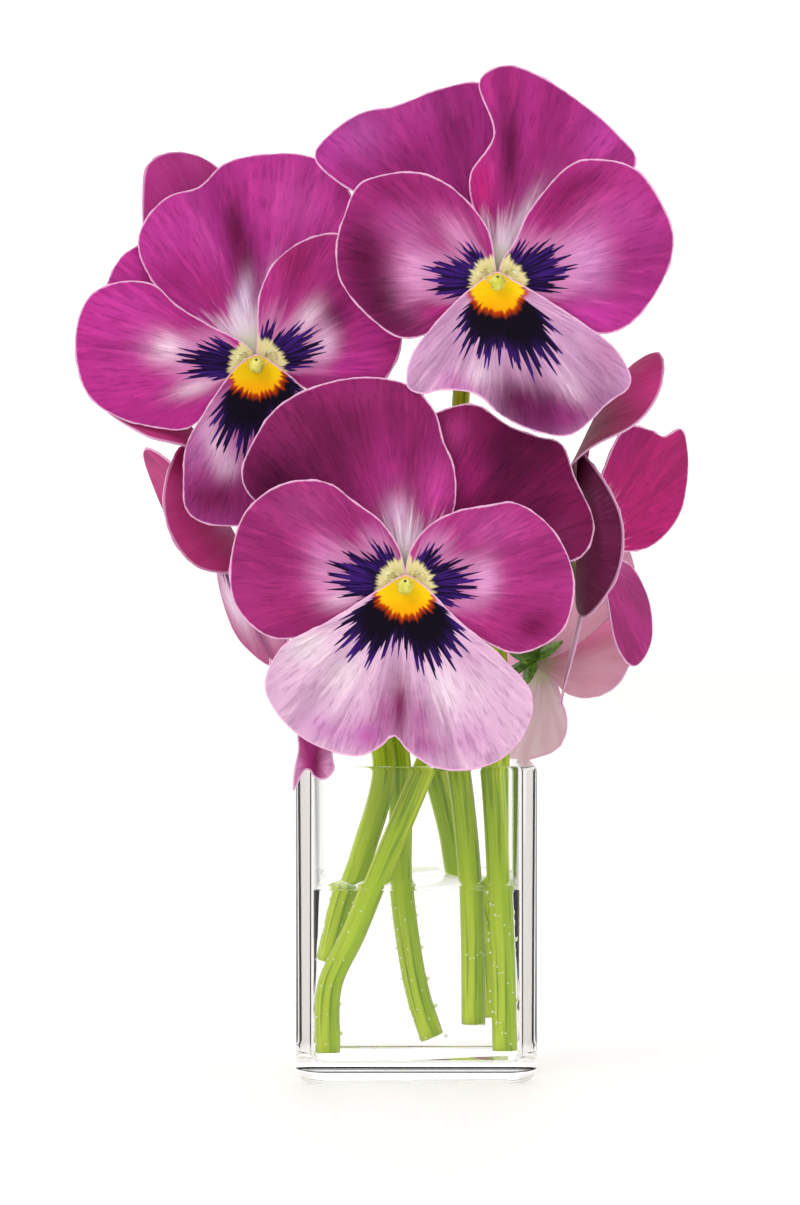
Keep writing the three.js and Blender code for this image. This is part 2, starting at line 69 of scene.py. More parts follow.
Pair = tuple[float, float]
Triple = tuple[float, float, float]
Outline = tuple[Pair, ...]


# ---------------------------------------------------------------------------------------------
# Colours and shader nodes
# ---------------------------------------------------------------------------------------------


def colour(code: str) -> tuple[float, float, float, float]:
    """Turn an sRGB hex colour linear.

    Args:
        code: Six hex digits.

    Returns:
        The colour in linear light, with full alpha.
    """
    parts = [int(code[i : i + 2], 16) / 255 for i in (0, 2, 4)]
    linear = [p / 12.92 if p <= 0.04045 else ((p + 0.055) / 1.055) ** 2.4 for p in parts]
    return (*linear, 1.0)


class Shader:
    """One material's node tree, with short ways to add what the finishes use."""

    def __init__(self, name: str) -> None:
        """Start an empty material.

        Args:
            name: The material's name.
        """
        self.material = bpy.data.materials.new(name)
        self.material.use_nodes = True
        self.tree = self.material.node_tree
        self.tree.nodes.clear()
        self.output = self.add("ShaderNodeOutputMaterial")

    def add(self, kind: str, inputs: dict | None = None, **settings: object) -> bpy.types.Node:
        """Add a node, with its settings, values and links.

        Args:
            kind: The node's type.
            inputs: Socket name or number to a value or to another node's output.
            **settings: The node's own properties.

        Returns:
            The new node.
        """
        node = self.tree.nodes.new(kind)
        for key, value in settings.items():
            setattr(node, key, value)
        for key, value in (inputs or {}).items():
            if isinstance(value, bpy.types.NodeSocket):
                self.tree.links.new(value, node.inputs[key])
            else:
                node.inputs[key].default_value = value
        return node

    def math(self, operation: str, *values: object, clamp: bool = False) -> bpy.types.NodeSocket:
        """Work out one number from others.

        Args:
            operation: The sum to do.
            *values: Numbers or other nodes' outputs.
            clamp: Whether to keep the result from 0 to 1.

        Returns:
            The result's socket.
        """
        node = self.add("ShaderNodeMath", dict(enumerate(values)), operation=operation, use_clamp=clamp)
        return node.outputs[0]

    def vector(self, operation: str, *values: object, output: str = "Vector") -> bpy.types.NodeSocket:
        """Work out one vector, or its length, from others.

        Args:
            operation: The sum to do.
            *values: Vectors or other nodes' outputs.
            output: The output to hand over, "Vector" or "Value".

        Returns:
            The result's socket.
        """
        node = self.add("ShaderNodeVectorMath", dict(enumerate(values)), operation=operation)
        return node.outputs[output]

    def scaled(self, vector: bpy.types.NodeSocket, scale: float) -> bpy.types.NodeSocket:
        """Make a vector longer or shorter."""
        node = self.add("ShaderNodeVectorMath", {0: vector, "Scale": scale}, operation="SCALE")
        return node.outputs["Vector"]

    def step(
        self, value: object, low: float, high: float, to_low: float = 0.0, to_high: float = 1.0
    ) -> bpy.types.NodeSocket:
        """Ease a number from one level to another between two limits.

        Args:
            value: The number.
            low: Where the easing starts.
            high: Where it ends.
            to_low: The level at the start.
            to_high: The level at the end.

        Returns:
            The eased number's socket.
        """
        node = self.add(
            "ShaderNodeMapRange",
            {"Value": value, "From Min": low, "From Max": high, "To Min": to_low, "To Max": to_high},
            interpolation_type="SMOOTHSTEP",
        )
        return node.outputs["Result"]

    def grain(
        self, where: object, scale: float, detail: float = 2.0, roughness: float = 0.5
    ) -> bpy.types.NodeSocket:
        """Noise between 0 and 1 at a position.

        Args:
            where: The position.
            scale: Grains in each unit of length.
            detail: How many finer layers it has.
            roughness: How strong those are.

        Returns:
            The noise's socket.
        """
        node = self.add(
            "ShaderNodeTexNoise",
            {"Vector": where, "Scale": scale, "Detail": detail, "Roughness": roughness},
        )
        return node.outputs["Fac"]

    def mix(self, share: object, first: object, second: object, blend: str = "MIX") -> bpy.types.NodeSocket:
        """Blend two colours.

        Args:
            share: How much of the second shows.
            first: The colour underneath.
            second: The colour on top.
            blend: How they blend.

        Returns:
            The blended colour's socket.
        """
        node = self.add("ShaderNodeMix", data_type="RGBA", blend_type=blend, clamp_factor=True)
        for index, value in ((0, share), (6, first), (7, second)):
            if isinstance(value, bpy.types.NodeSocket):
                self.tree.links.new(value, node.inputs[index])
            else:
                node.inputs[index].default_value = value
        return node.outputs[2]

    def times(self, first: object, second: object) -> bpy.types.NodeSocket:
        """Multiply two colours."""
        return self.mix(1.0, first, second, "MULTIPLY")

    def finish(self, shader: bpy.types.NodeSocket) -> bpy.types.Material:
        """Join the last shader to the output and hand over the material."""
        self.tree.links.new(shader, self.output.inputs["Surface"])
        return self.material


# ---------------------------------------------------------------------------------------------
# What a petal is
# ---------------------------------------------------------------------------------------------


class Kind(Enum):
    """A petal's place in the flower, which sets its marks."""

    UPPER = "upper"
    SIDE = "side"
    LOWER = "lower"
    PLAIN = "plain"


@dataclass(frozen=True)
class TintAndShade:
    """A soft patch on a petal, of its own colour or of painted shade where it folds or lies under another:
    its middle, its half sizes, its turn and its strength.
    """

    x: float
    y: float
    wide: float
    tall: float
    code: str
    turn: float = 0.0
    strength: float = 1.0


@dataclass(frozen=True)
class Lobe:
    """One rounded fan of a dark blotch: its direction, half its angle and its reach."""

    aim: float
    half: float
    reach: float


@dataclass(frozen=True)
class Roll:
    """A bend about a line across the petal: the way it lies, where it starts, its radius and most turn."""

    towards: float
    start: float
    radius: float
    most: float


@dataclass(frozen=True)
class PetalPlan:
    """A petal's outline in the flower's plane, how it leaves the plane, and its colours."""

    kind: Kind
    outline: Outline
    aim: float
    layer: int = 0
    lean: float = 0.0
    twist: float = 0.0
    cup: float = 0.0
    wave: float = 0.5
    phase: float = 0.0
    rolls: tuple[Roll, ...] = ()
    sway: float = 1.0
    turn: float = 0.0
    base: str = "a82a7a"
    tints_and_shades: tuple[TintAndShade, ...] = ()
    lobes: tuple[Lobe, ...] = ()

    def height(self, x: float, y: float) -> float:
        """How far the sheet stands in front of the flower's plane at a place.

        Args:
            x: Right of the eye.
            y: Above the eye.

        Returns:
            The height, forwards.
        """
        aim = math.radians(self.aim)
        along = x * math.cos(aim) + y * math.sin(aim)
        across = -x * math.sin(aim) + y * math.cos(aim)
        distance = math.hypot(x, y)
        reach = distance / DRAWN_REACH
        swing = math.atan2(across, along)
        return (
            self.sway * self.face_height(reach, math.atan2(y, x))
            - self.layer * PETAL_LAYER
            + self.lean * along
            + self.twist * across
            + self.cup * reach**2 * math.sin(swing) ** 2
            + self.wave * reach**3 * math.sin(6 * swing + self.phase)
            - THROAT_DEPTH * math.exp(-((distance / THROAT_RADIUS) ** 2))
        )

    def face_height(self, reach: float, angle: float) -> float:
        """The saddle and the ripples that all the petals of a flower share.

        Args:
            reach: Distance from the eye, as a share of a typical rim's.
            angle: Direction from the eye in the flower's plane.

        Returns:
            The height in front of the plane.
        """
        turn = math.radians(self.turn)
        saddle = SWAY * reach**2 * math.sin(2 * angle + turn)
        return saddle + RUFFLE * reach**3 * math.sin(5 * angle + 2 * turn)

    def bent(self, x: float, y: float) -> Vector:
        """Carry a flat place to the petal's real surface.

        Args:
            x: Right of the eye.
            y: Above the eye.

        Returns:
            The place in the flower's frame, z forwards.
        """
        point = Vector((x, y, self.height(x, y)))
        for each in self.rolls:
            turn = math.radians(each.towards)
            ahead = point.x * math.cos(turn) + point.y * math.sin(turn)
            aside = -point.x * math.sin(turn) + point.y * math.cos(turn)
            past = ahead - each.start
            if past <= 0:
                continue
            angle = math.copysign(min(past / abs(each.radius), math.radians(each.most)), each.radius)
            rest = past - abs(angle * each.radius)
            moved = each.start + (each.radius - point.z) * math.sin(angle) + rest * math.cos(angle)
            rise = each.radius - (each.radius - point.z) * math.cos(angle) + rest * math.sin(angle)
            point = Vector(
                (
                    moved * math.cos(turn) - aside * math.sin(turn),
                    moved * math.sin(turn) + aside * math.cos(turn),
                    rise,
                )
            )
        return point

    def tint(self, x: float, y: float) -> Vector:
        """Mix the patches, own colour and painted shade, over the base colour at a place.

        Args:
            x: Right of the eye.
            y: Above the eye.

        Returns:
            The linear colour.
        """
        shade = Vector(colour(self.base)[:3])
        for tint_and_shade in self.tints_and_shades:
            turn = math.radians(tint_and_shade.turn)
            dx, dy = x - tint_and_shade.x, y - tint_and_shade.y
            u = (dx * math.cos(turn) + dy * math.sin(turn)) / tint_and_shade.wide
            v = (-dx * math.sin(turn) + dy * math.cos(turn)) / tint_and_shade.tall
            share = tint_and_shade.strength * math.exp(-(u * u + v * v) * 0.9)
            shade = shade.lerp(Vector(colour(tint_and_shade.code)[:3]), min(1.0, share))
        return shade


@dataclass(frozen=True)
class FlowerPlan:
    """A flower: where its eye is over the rim, the way it faces, its stem's route and its petals."""

    name: str
    eye: Triple
    faces: Triple
    size: float
    foot: tuple[Triple, ...]
    route: tuple[Triple, ...]
    petals: dict[str, PetalPlan]
    sway: float = 1.0
    turn: float = 0.0

    def __post_init__(self) -> None:
        """Hand the flower's sway down to its petals."""
        swayed = {
            place: replace(petal, sway=self.sway, turn=self.turn) for place, petal in self.petals.items()
        }
        object.__setattr__(self, "petals", swayed)

    def place(self) -> Matrix:
        """The flower's frame in millimetres: z forwards, y as upright as it can be."""
        z = Vector(self.faces).normalized()
        x = Vector((0, 0, 1)).cross(z).normalized()
        y = z.cross(x)
        turn = Matrix((x, y, z)).transposed().to_4x4()
        spot = Vector((self.eye[0], self.eye[1], VASE_HEIGHT + self.eye[2]))
        return Matrix.Translation(spot) @ turn @ Matrix.Scale(self.size, 4)


# ---------------------------------------------------------------------------------------------
# Meshes
# ---------------------------------------------------------------------------------------------


def smooth_loop(points: Sequence[Pair], count: int) -> list[Vector]:
    """Run a closed smooth curve through points and space places evenly along it.

    Args:
        points: The points, in order.
        count: How many places to return.

    Returns:
        Places evenly spaced along the closed centripetal Catmull-Rom curve.
    """
    corners = [Vector((x, y, 0)) for x, y in points]
    total = len(corners)
    dense: list[Vector] = []
    for i in range(total):
        ring = [corners[(i + k) % total] for k in (-1, 0, 1, 2)]
        dense.extend(smooth_span(ring, 24))
    return spaced(dense + [dense[0]], count + 1)[:-1]


def anticlockwise(loop: list[Vector]) -> list[Vector]:
    """Turn a loop round if it runs clockwise."""
    area = sum(a.cross(b).z for a, b in zip(loop, loop[1:]))
    return loop if area > 0 else loop[::-1]


def smooth_line(points: Sequence[Vector], step: float) -> list[Vector]:
    """Run an open smooth curve through points.

    Args:
        points: The points, in order.
        step: The spacing of the places returned.

    Returns:
        Places evenly spaced along the curve, both ends included.
    """
    first = points[0] * 2 - points[1]
    last = points[-1] * 2 - points[-2]
    padded = [first, *points, last]
    dense: list[Vector] = []
    for i in range(len(points) - 1):
        dense.extend(smooth_span(padded[i : i + 4], 24))
    dense.append(points[-1].copy())
    length = sum((b - a).length for a, b in zip(dense, dense[1:]))
    return spaced(dense, max(3, round(length / step)))


def smooth_span(ring: Sequence[Vector], count: int) -> list[Vector]:
    """Sample one span of a centripetal Catmull-Rom curve, its end left out.

    Args:
        ring: The points before, at the start, at the end and after.
        count: How many places to return.

    Returns:
        Places along the span.
    """
    p0, p1, p2, p3 = ring
    t = [0.0]
    for a, b in ((p0, p1), (p1, p2), (p2, p3)):
        t.append(t[-1] + max((b - a).length, 1e-6) ** 0.5)
    places = []
    for k in range(count):
        s = t[1] + (t[2] - t[1]) * k / count
        a1 = p0.lerp(p1, (s - t[0]) / (t[1] - t[0]))
        a2 = p1.lerp(p2, (s - t[1]) / (t[2] - t[1]))
        a3 = p2.lerp(p3, (s - t[2]) / (t[3] - t[2]))
        b1 = a1.lerp(a2, (s - t[0]) / (t[2] - t[0]))
        b2 = a2.lerp(a3, (s - t[1]) / (t[3] - t[1]))
        places.append(b1.lerp(b2, (s - t[1]) / (t[2] - t[1])))
    return places


def spaced(dense: Sequence[Vector], count: int) -> list[Vector]:
    """Pick places at even distances along a chain of points.

    Args:
        dense: The chain.
        count: How many places to pick, both ends included.

    Returns:
        The places.
    """
    lengths = [0.0]
    for a, b in zip(dense, dense[1:]):
        lengths.append(lengths[-1] + (b - a).length)
    picked, i = [], 0
    for k in range(count):
        want = lengths[-1] * k / (count - 1)
        while i < len(dense) - 2 and lengths[i + 1] < want:
            i += 1
        span = max(lengths[i + 1] - lengths[i], 1e-9)
        picked.append(dense[i].lerp(dense[i + 1], min(1.0, (want - lengths[i]) / span)))
    return picked


def piece(
    name: str, bm: bmesh.types.BMesh, materials: Iterable[bpy.types.Material]
) -> bpy.types.Object:
    """Turn a bmesh in millimetres into a named object that rides on the bouquet.

    Args:
        name: The piece's name.
        bm: The mesh, which is freed.
        materials: Its materials, in slot order.

    Returns:
        The new object.
    """
    bm.transform(Matrix.Scale(MM, 4))
    for face in bm.faces:
        face.smooth = True
    mesh = bpy.data.meshes.new(name)
    bm.to_mesh(mesh)
    bm.free()
    for material in materials:
        mesh.materials.append(material)
    thing = bpy.data.objects.new(name, mesh)
    bpy.context.scene.collection.objects.link(thing)
    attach(thing, "root")
    return thing


def spun(bm: bmesh.types.BMesh, geometry: list, steps: int) -> None:
    """Spin a line of points a full turn about Z."""
    bmesh.ops.spin(
        bm, geom=geometry, cent=(0, 0, 0), axis=(0, 0, 1), angle=2 * math.pi, steps=steps, use_merge=True
    )


def disc(bm: bmesh.types.BMesh, spokes: int, shares: Sequence[float]) -> None:
    """Spin a line of points into a flat round disc of radius 1, facing +Z.

    Args:
        bm: The mesh to fill.
        spokes: Points round each ring.
        shares: The rings' radii, from 0 to 1.
    """
    line = [bm.verts.new((share, 0, 0)) for share in shares]
    edges = [bm.edges.new(pair) for pair in zip(line, line[1:])]
    spun(bm, [*line, *edges], spokes)
    bmesh.ops.remove_doubles(bm, verts=bm.verts[:], dist=1e-5)
    bm.normal_update()
    downwards = [f for f in bm.faces if f.normal.z < 0]
    bmesh.ops.reverse_faces(bm, faces=downwards)


def rod(
    bm: bmesh.types.BMesh, path: Sequence[Vector], radii: Sequence[float], sides: int, ridge: float = 0.0
) -> None:
    """Extrude a round section along a path, with both ends closed.

    The layer "fibre" keeps each point's place round the section and its length along the path.

    Args:
        bm: The mesh to fill.
        path: The section's middles.
        radii: Its radius at each.
        sides: Points round the section.
        ridge: How far five soft ridges stand out.
    """
    bm.verts.layers.float_vector.new("fibre")
    angles = bm.verts.layers.float.new("angle")
    fibre = bm.verts.layers.float_vector["fibre"]
    start = bmesh.ops.create_circle(bm, cap_ends=True, segments=sides, radius=1.0)["verts"]
    for vert in start:
        vert[angles] = math.atan2(vert.co.y, vert.co.x)
    end = next(iter(bm.faces))
    side = Vector((0, 1, 0))
    length = 0.0
    for i, centre in enumerate(path):
        ahead = (path[min(i + 1, len(path) - 1)] - path[max(i - 1, 0)]).normalized()
        side = (side - ahead * side.dot(ahead)).normalized()
        up = ahead.cross(side)
        if i:
            length += (centre - path[i - 1]).length
            grown = bmesh.ops.extrude_face_region(bm, geom=[end])
            if i > 1:
                bmesh.ops.delete(bm, geom=[end], context="FACES_ONLY")
            end = next(g for g in grown["geom"] if isinstance(g, bmesh.types.BMFace))
        for vert in end.verts:
            a = vert[angles]
            out = radii[i] + ridge * math.cos(5 * a)
            vert.co = centre + (side * math.cos(a) + up * math.sin(a)) * out
            vert[fibre] = Vector((math.cos(a), math.sin(a), length / 10))
    bmesh.ops.recalc_face_normals(bm, faces=bm.faces[:])


# ---------------------------------------------------------------------------------------------
# Finishes
# ---------------------------------------------------------------------------------------------


@dataclass(frozen=True)
class PetalFinish:
    """A petal's front: patches of its own colour and of painted shade, radial bands of painted fold shade,
    veins, a rayed blotch, a bright throat and a pale rim.
    """

    name: str
    kind: Kind
    aim: float
    lobes: tuple[Lobe, ...]
    seed: float = 0.0
    rim: str = "efb9dc"
    rim_width: float = 0.30
    halo: str = "e6b4da"
    halo_strength: float = 0.32
    cream: str = "e4d89c"
    orange: str = "f9a800"
    yellow: str = "f7cc10"
    ember: str = "b83a00"
    violet: str = "3c1a70"
    ink: str = "14062a"
    night: str = "0c0414"

    def make(self) -> bpy.types.Material:
        """Build the material.

        Returns:
            The front material for petals of this kind and these marks.
        """
        s = Shader(self.name)
        flat = s.scaled(s.add("ShaderNodeUVMap", uv_map="flat").outputs["UV"], 100.0)
        back = {"Vector": flat, "Angle": -math.radians(self.aim)}
        turned = s.add("ShaderNodeVectorRotate", back, rotation_type="Z_AXIS").outputs["Vector"]
        parts = s.add("ShaderNodeSeparateXYZ", {0: turned}).outputs
        reach = s.vector("LENGTH", flat, output="Value")
        angle = s.math("ARCTAN2", parts[1], parts[0])
        way = s.vector("NORMALIZE", flat)
        drift = s.add("ShaderNodeCombineXYZ", {2: s.math("MULTIPLY", reach, 0.006)}).outputs[0]
        ray_place = s.vector("ADD", s.vector("ADD", way, drift), (self.seed, self.seed * 0.7, 0))
        streaks = s.grain(ray_place, 18.0, 3.0, 0.6)
        veins = s.step(s.grain(ray_place, 48.0, 2.0, 0.6), 0.5, 0.68)
        # Radial bands of painted shade, standing in for the shading of the petal's folds.
        fold_shade = s.grain(ray_place, 5.0, 2.0, 0.5)

        # The petal's colour, with painted shade at its folds and overlaps laid in from the patches.
        tint_and_shade = s.add("ShaderNodeAttribute", attribute_name="tint_and_shade").outputs["Color"]
        mottle = s.grain(flat, 0.22, 3.0, 0.6)
        velvet = s.grain(flat, 2.6, 2.0, 0.6)
        shade = s.mix(s.step(fold_shade, 0.42, 0.66, 0.0, 0.42), tint_and_shade, s.times(tint_and_shade, (0.42, 0.30, 0.40, 1)))
        shade = s.mix(s.step(streaks, 0.50, 0.70, 0.0, 0.42), shade, s.times(tint_and_shade, (1.5, 1.7, 1.4, 1)))
        shade = s.mix(s.math("MULTIPLY", veins, 0.42), shade, s.times(tint_and_shade, (0.45, 0.30, 0.42, 1)))
        shade = s.mix(s.step(mottle, 0.5, 0.75, 0.0, 0.22), shade, s.times(tint_and_shade, (0.55, 0.40, 0.55, 1)))
        shade = s.mix(s.step(velvet, 0.35, 0.75, 0.0, 0.06), shade, s.mix(0.25, tint_and_shade, colour("e080c4")))

        if self.kind is Kind.UPPER:
            shade = self.pale_base(s, shade, reach, streaks)
        elif self.kind is not Kind.PLAIN:
            shade = self.marks(s, shade, reach, angle, streaks)
            shade = self.throat(s, shade, reach, flat, ray_place)

        edge = s.add("ShaderNodeAttribute", attribute_name="rim").outputs["Fac"]
        edge = s.math("ADD", edge, s.math("MULTIPLY", s.grain(flat, 0.9, 2.0), 0.25))
        rimmed = s.step(edge, self.rim_width + 0.20, self.rim_width - 0.06, 0.0, 0.88)
        shade = s.mix(rimmed, shade, colour(self.rim))

        relief = s.math("ADD", s.math("MULTIPLY", veins, 0.6), s.math("MULTIPLY", velvet, 0.4))
        bump = s.add("ShaderNodeBump", {"Height": relief, "Strength": 0.35, "Distance": 0.00012}).outputs[0]
        rough = s.step(velvet, 0.3, 0.8, 0.50, 0.66)
        skin = s.add(
            "ShaderNodeBsdfPrincipled",
            {
                "Base Color": shade,
                "Roughness": rough,
                "Normal": bump,
                "Specular IOR Level": 0.06,
                "Sheen Weight": 0.03,
                "Sheen Roughness": 0.45,
                "Sheen Tint": colour("ff9ad8"),
            },
        )
        return s.finish(skin.outputs[0])

    def pale_base(self, s: Shader, shade: object, reach: object, streaks: object) -> object:
        """Lay the pale streaks at the foot of an upper petal.

        Args:
            s: The material in the making.
            shade: The colour so far.
            reach: Distance from the eye.
            streaks: Long radial streaks.

        Returns:
            The colour with its pale foot.
        """
        edge = s.math("ADD", reach, s.math("MULTIPLY", streaks, -14.0))
        shade = s.mix(s.step(edge, 6.5, -1.0, 0.0, 0.85), shade, colour("ecdbe8"))
        return s.mix(s.step(reach, 8.0, 3.5), shade, colour("d3d8b8"))

    def marks(self, s: Shader, shade: object, reach: object, angle: object, streaks: object) -> object:
        """Lay the pale halo and the dark rayed blotch.

        Args:
            s: The material in the making.
            shade: The colour so far.
            reach: Distance from the eye.
            angle: Direction from the petal's own.
            streaks: Long radial streaks.

        Returns:
            The colour with its marks.
        """
        body, halo = 0.0, 0.0
        for lobe in self.lobes:
            away = s.math("SUBTRACT", angle, self.relative(lobe.aim))
            body = s.math("MAXIMUM", body, self.fan(s, away, lobe.half + 5, lobe.reach))
            halo = s.math("MAXIMUM", halo, self.fan(s, away, lobe.half + 10, lobe.reach + 4.0))
        turns = s.math("ADD", s.math("MULTIPLY", angle, 9.5), self.seed)
        tooth = self.teeth(s, turns)
        fine = self.teeth(s, s.math("MULTIPLY", turns, 2.3))
        jag = s.math("ADD", s.math("MULTIPLY", tooth, 0.26), s.math("MULTIPLY", fine, 0.13))
        limit = s.math("MULTIPLY", body, s.math("ADD", jag, 0.70))
        feathered = s.math("ADD", halo, s.math("MULTIPLY", streaks, 6.0))
        pale = s.math("SUBTRACT", feathered, s.math("ADD", reach, 4.0))
        strength = 0.15 if self.kind is Kind.LOWER else self.halo_strength
        shade = s.mix(s.step(pale, -1.5, 4.5, 0.0, strength), shade, colour(self.halo))
        inside = s.step(s.math("SUBTRACT", limit, reach), -0.25, 0.35)
        low = self.kind is Kind.LOWER
        glow = s.mix(s.step(streaks, 0.40, 0.58), colour(self.violet), colour(self.ink))
        depth = s.math("DIVIDE", reach, s.math("MAXIMUM", body, 1.0))
        fade = s.step(depth, 0.55 if low else 0.25, 0.95 if low else 0.6)
        deep = s.mix(fade, colour(self.night if low else self.ink), glow)
        return s.mix(inside, shade, deep)

    def throat(self, s: Shader, shade: object, reach: object, flat: object, ray_place: object) -> object:
        """Lay the cream or orange heart.

        Args:
            s: The material in the making.
            shade: The colour so far.
            reach: Distance from the eye.
            flat: The flat place on the petal.
            ray_place: Where the radial noises are read.

        Returns:
            The colour with its heart.
        """
        teeth = s.math("MULTIPLY", s.grain(ray_place, 9.0, 2.0, 0.6), 3.2)
        near = s.math("SUBTRACT", reach, teeth)
        if self.kind is Kind.SIDE:
            return s.mix(s.step(near, 3.8, 2.9), shade, colour(self.cream))
        shade = s.mix(s.step(near, 4.6, 3.4, 0.0, 0.9), shade, colour(self.ember))
        height = s.add("ShaderNodeSeparateXYZ", {0: flat}).outputs[1]
        heart = s.mix(s.step(height, -4.5, -1.0), colour(self.orange), colour(self.yellow))
        return s.mix(s.step(near, 3.5, 2.8), shade, heart)

    def relative(self, aim: float) -> float:
        """A direction's angle from the petal's own, in radians."""
        return math.radians((aim - self.aim + 180) % 360 - 180)

    def fan(self, s: Shader, away: object, half: float, reach: float) -> object:
        """The reach of one rounded fan at an angle from its middle."""
        t = s.math("DIVIDE", away, math.radians(half))
        square = s.math("SUBTRACT", 1.0, s.math("MULTIPLY", t, t))
        return s.math("MULTIPLY", s.math("POWER", s.math("MAXIMUM", square, 0.0), 0.42), reach)

    def teeth(self, s: Shader, turns: object) -> object:
        """Pointed teeth at uneven spacing, 1 at each tip."""
        cells = s.add(
            "ShaderNodeTexVoronoi", {"W": turns, "Scale": 1.0, "Randomness": 0.75}, voronoi_dimensions="1D"
        ).outputs["Distance"]
        return s.math("SUBTRACT", 1.0, s.math("MULTIPLY", cells, 2.2), clamp=True)


@dataclass(frozen=True)
class PetalBackFinish:
    """A petal's back: duller and paler than its front, with raised veins, radial bands of painted fold shade
    and the painted shade of its patches.
    """

    name: str = "petal_back"
    pale: str = "e2b2d2"

    def make(self) -> bpy.types.Material:
        """Build the material."""
        s = Shader(self.name)
        flat = s.scaled(s.add("ShaderNodeUVMap", uv_map="flat").outputs["UV"], 100.0)
        reach = s.vector("LENGTH", flat, output="Value")
        way = s.vector("NORMALIZE", flat)
        drift = s.add("ShaderNodeCombineXYZ", {2: s.math("MULTIPLY", reach, 0.006)}).outputs[0]
        rays = s.vector("ADD", way, drift)
        veins = s.step(s.grain(rays, 40.0, 2.0, 0.6), 0.52, 0.66)
        # Radial bands of painted shade, standing in for the shading of the petal's folds; the roughness
        # follows them too.
        fold_shade = s.grain(rays, 6.0, 2.0)
        # The petal's colour, with painted shade laid in from the patches.
        tint_and_shade = s.add("ShaderNodeAttribute", attribute_name="tint_and_shade").outputs["Color"]
        shade = s.mix(0.02, tint_and_shade, colour(self.pale))
        shade = s.mix(s.step(fold_shade, 0.35, 0.7, 0.0, 0.45), shade, s.times(tint_and_shade, (0.75, 0.5, 0.62, 1)))
        shade = s.mix(s.math("MULTIPLY", veins, 0.22), shade, s.mix(0.12, tint_and_shade, colour("f4b4d8")))
        shade = s.mix(s.step(reach, 7.0, 2.0, 0.0, 0.7), shade, colour("d8d6a8"))
        edge = s.add("ShaderNodeAttribute", attribute_name="rim").outputs["Fac"]
        shade = s.mix(s.step(edge, 0.5, 0.2, 0.0, 0.6), shade, colour("ecb4d8"))
        bump = s.add("ShaderNodeBump", {"Height": veins, "Strength": 0.4, "Distance": 0.0002}).outputs[0]
        skin = s.add(
            "ShaderNodeBsdfPrincipled",
            {
                "Base Color": shade,
                "Roughness": s.step(fold_shade, 0.2, 0.8, 0.52, 0.64),
                "Normal": bump,
                "Specular IOR Level": 0.06,
            },
        )
        return s.finish(skin.outputs[0])


@dataclass(frozen=True)
class StemFinish:
    """A moist green stem: long fibres, lighter ridges and a pale cut end."""

    name: str = "stem"
    light: str = "bccf2e"
    green: str = "93b408"
    dark: str = "557c02"
    cut: str = "dce8b0"

    def make(self) -> bpy.types.Material:
        """Build the material."""
        s = Shader(self.name)
        fibre = s.add("ShaderNodeAttribute", attribute_name="fibre").outputs["Vector"]
        parts = s.add("ShaderNodeSeparateXYZ", {0: fibre}).outputs
        squeezed = s.vector("MULTIPLY", fibre, (1, 1, 0.12))
        lines = s.grain(squeezed, 4.5, 3.0, 0.6)
        broad = s.grain(squeezed, 1.3, 2.0)
        spots = s.grain(fibre, 9.0, 2.0, 0.6)
        shade = s.mix(s.step(broad, 0.35, 0.65), colour(self.green), colour(self.light))
        shade = s.mix(s.step(lines, 0.48, 0.66, 0.0, 0.75), shade, colour(self.dark))
        shade = s.mix(s.step(spots, 0.6, 0.75, 0.0, 0.3), shade, colour(self.light))
        shade = s.mix(s.step(parts[2], 0.012, 0.0), shade, colour(self.cut))
        bump = s.add("ShaderNodeBump", {"Height": lines, "Strength": 0.4, "Distance": 0.0003}).outputs[0]
        skin = s.add(
            "ShaderNodeBsdfPrincipled",
            {
                "Base Color": shade,
                "Roughness": s.step(lines, 0.3, 0.7, 0.36, 0.5),
                "Normal": bump,
                "Specular IOR Level": 0.22,
            },
        )
        return s.finish(skin.outputs[0])


@dataclass(frozen=True)
class LeafFinish:
    """A sepal's thin green skin, veined and lighter at its edge."""

    name: str = "sepal"
    green: str = "6f9a2c"
    dark: str = "3f6a14"
    light: str = "a9c95e"

    def make(self) -> bpy.types.Material:
        """Build the material."""
        s = Shader(self.name)
        where = s.add("ShaderNodeTexCoord").outputs["Object"]
        patches = s.grain(where, 260.0, 3.0)
        fine = s.grain(where, 1600.0, 2.0)
        shade = s.mix(s.step(patches, 0.35, 0.7), colour(self.dark), colour(self.green))
        shade = s.mix(s.step(fine, 0.5, 0.75, 0.0, 0.6), shade, colour(self.light))
        bump = s.add("ShaderNodeBump", {"Height": fine, "Strength": 0.3, "Distance": 0.0002}).outputs[0]
        skin = s.add(
            "ShaderNodeBsdfPrincipled",
            {
                "Base Color": shade,
                "Roughness": s.step(fine, 0.3, 0.7, 0.42, 0.55),
                "Normal": bump,
                "Specular IOR Level": 0.35,
            },
        )
        return s.finish(skin.outputs[0])


@dataclass(frozen=True)
class HeartFinish:
    """The moist yellow-green knob or the cream down in a flower's eye."""

    name: str
    main: str
    second: str
    rough: float

    def make(self) -> bpy.types.Material:
        """Build the material."""
        s = Shader(self.name)
        where = s.add("ShaderNodeTexCoord").outputs["Object"]
        patches = s.grain(where, 900.0, 2.0)
        shade = s.mix(s.step(patches, 0.35, 0.65), colour(self.main), colour(self.second))
        skin = s.add(
            "ShaderNodeBsdfPrincipled",
            {
                "Base Color": shade,
                "Roughness": s.step(patches, 0.2, 0.8, self.rough, self.rough + 0.12),
                "Specular IOR Level": 0.4,
            },
        )
        return s.finish(skin.outputs[0])


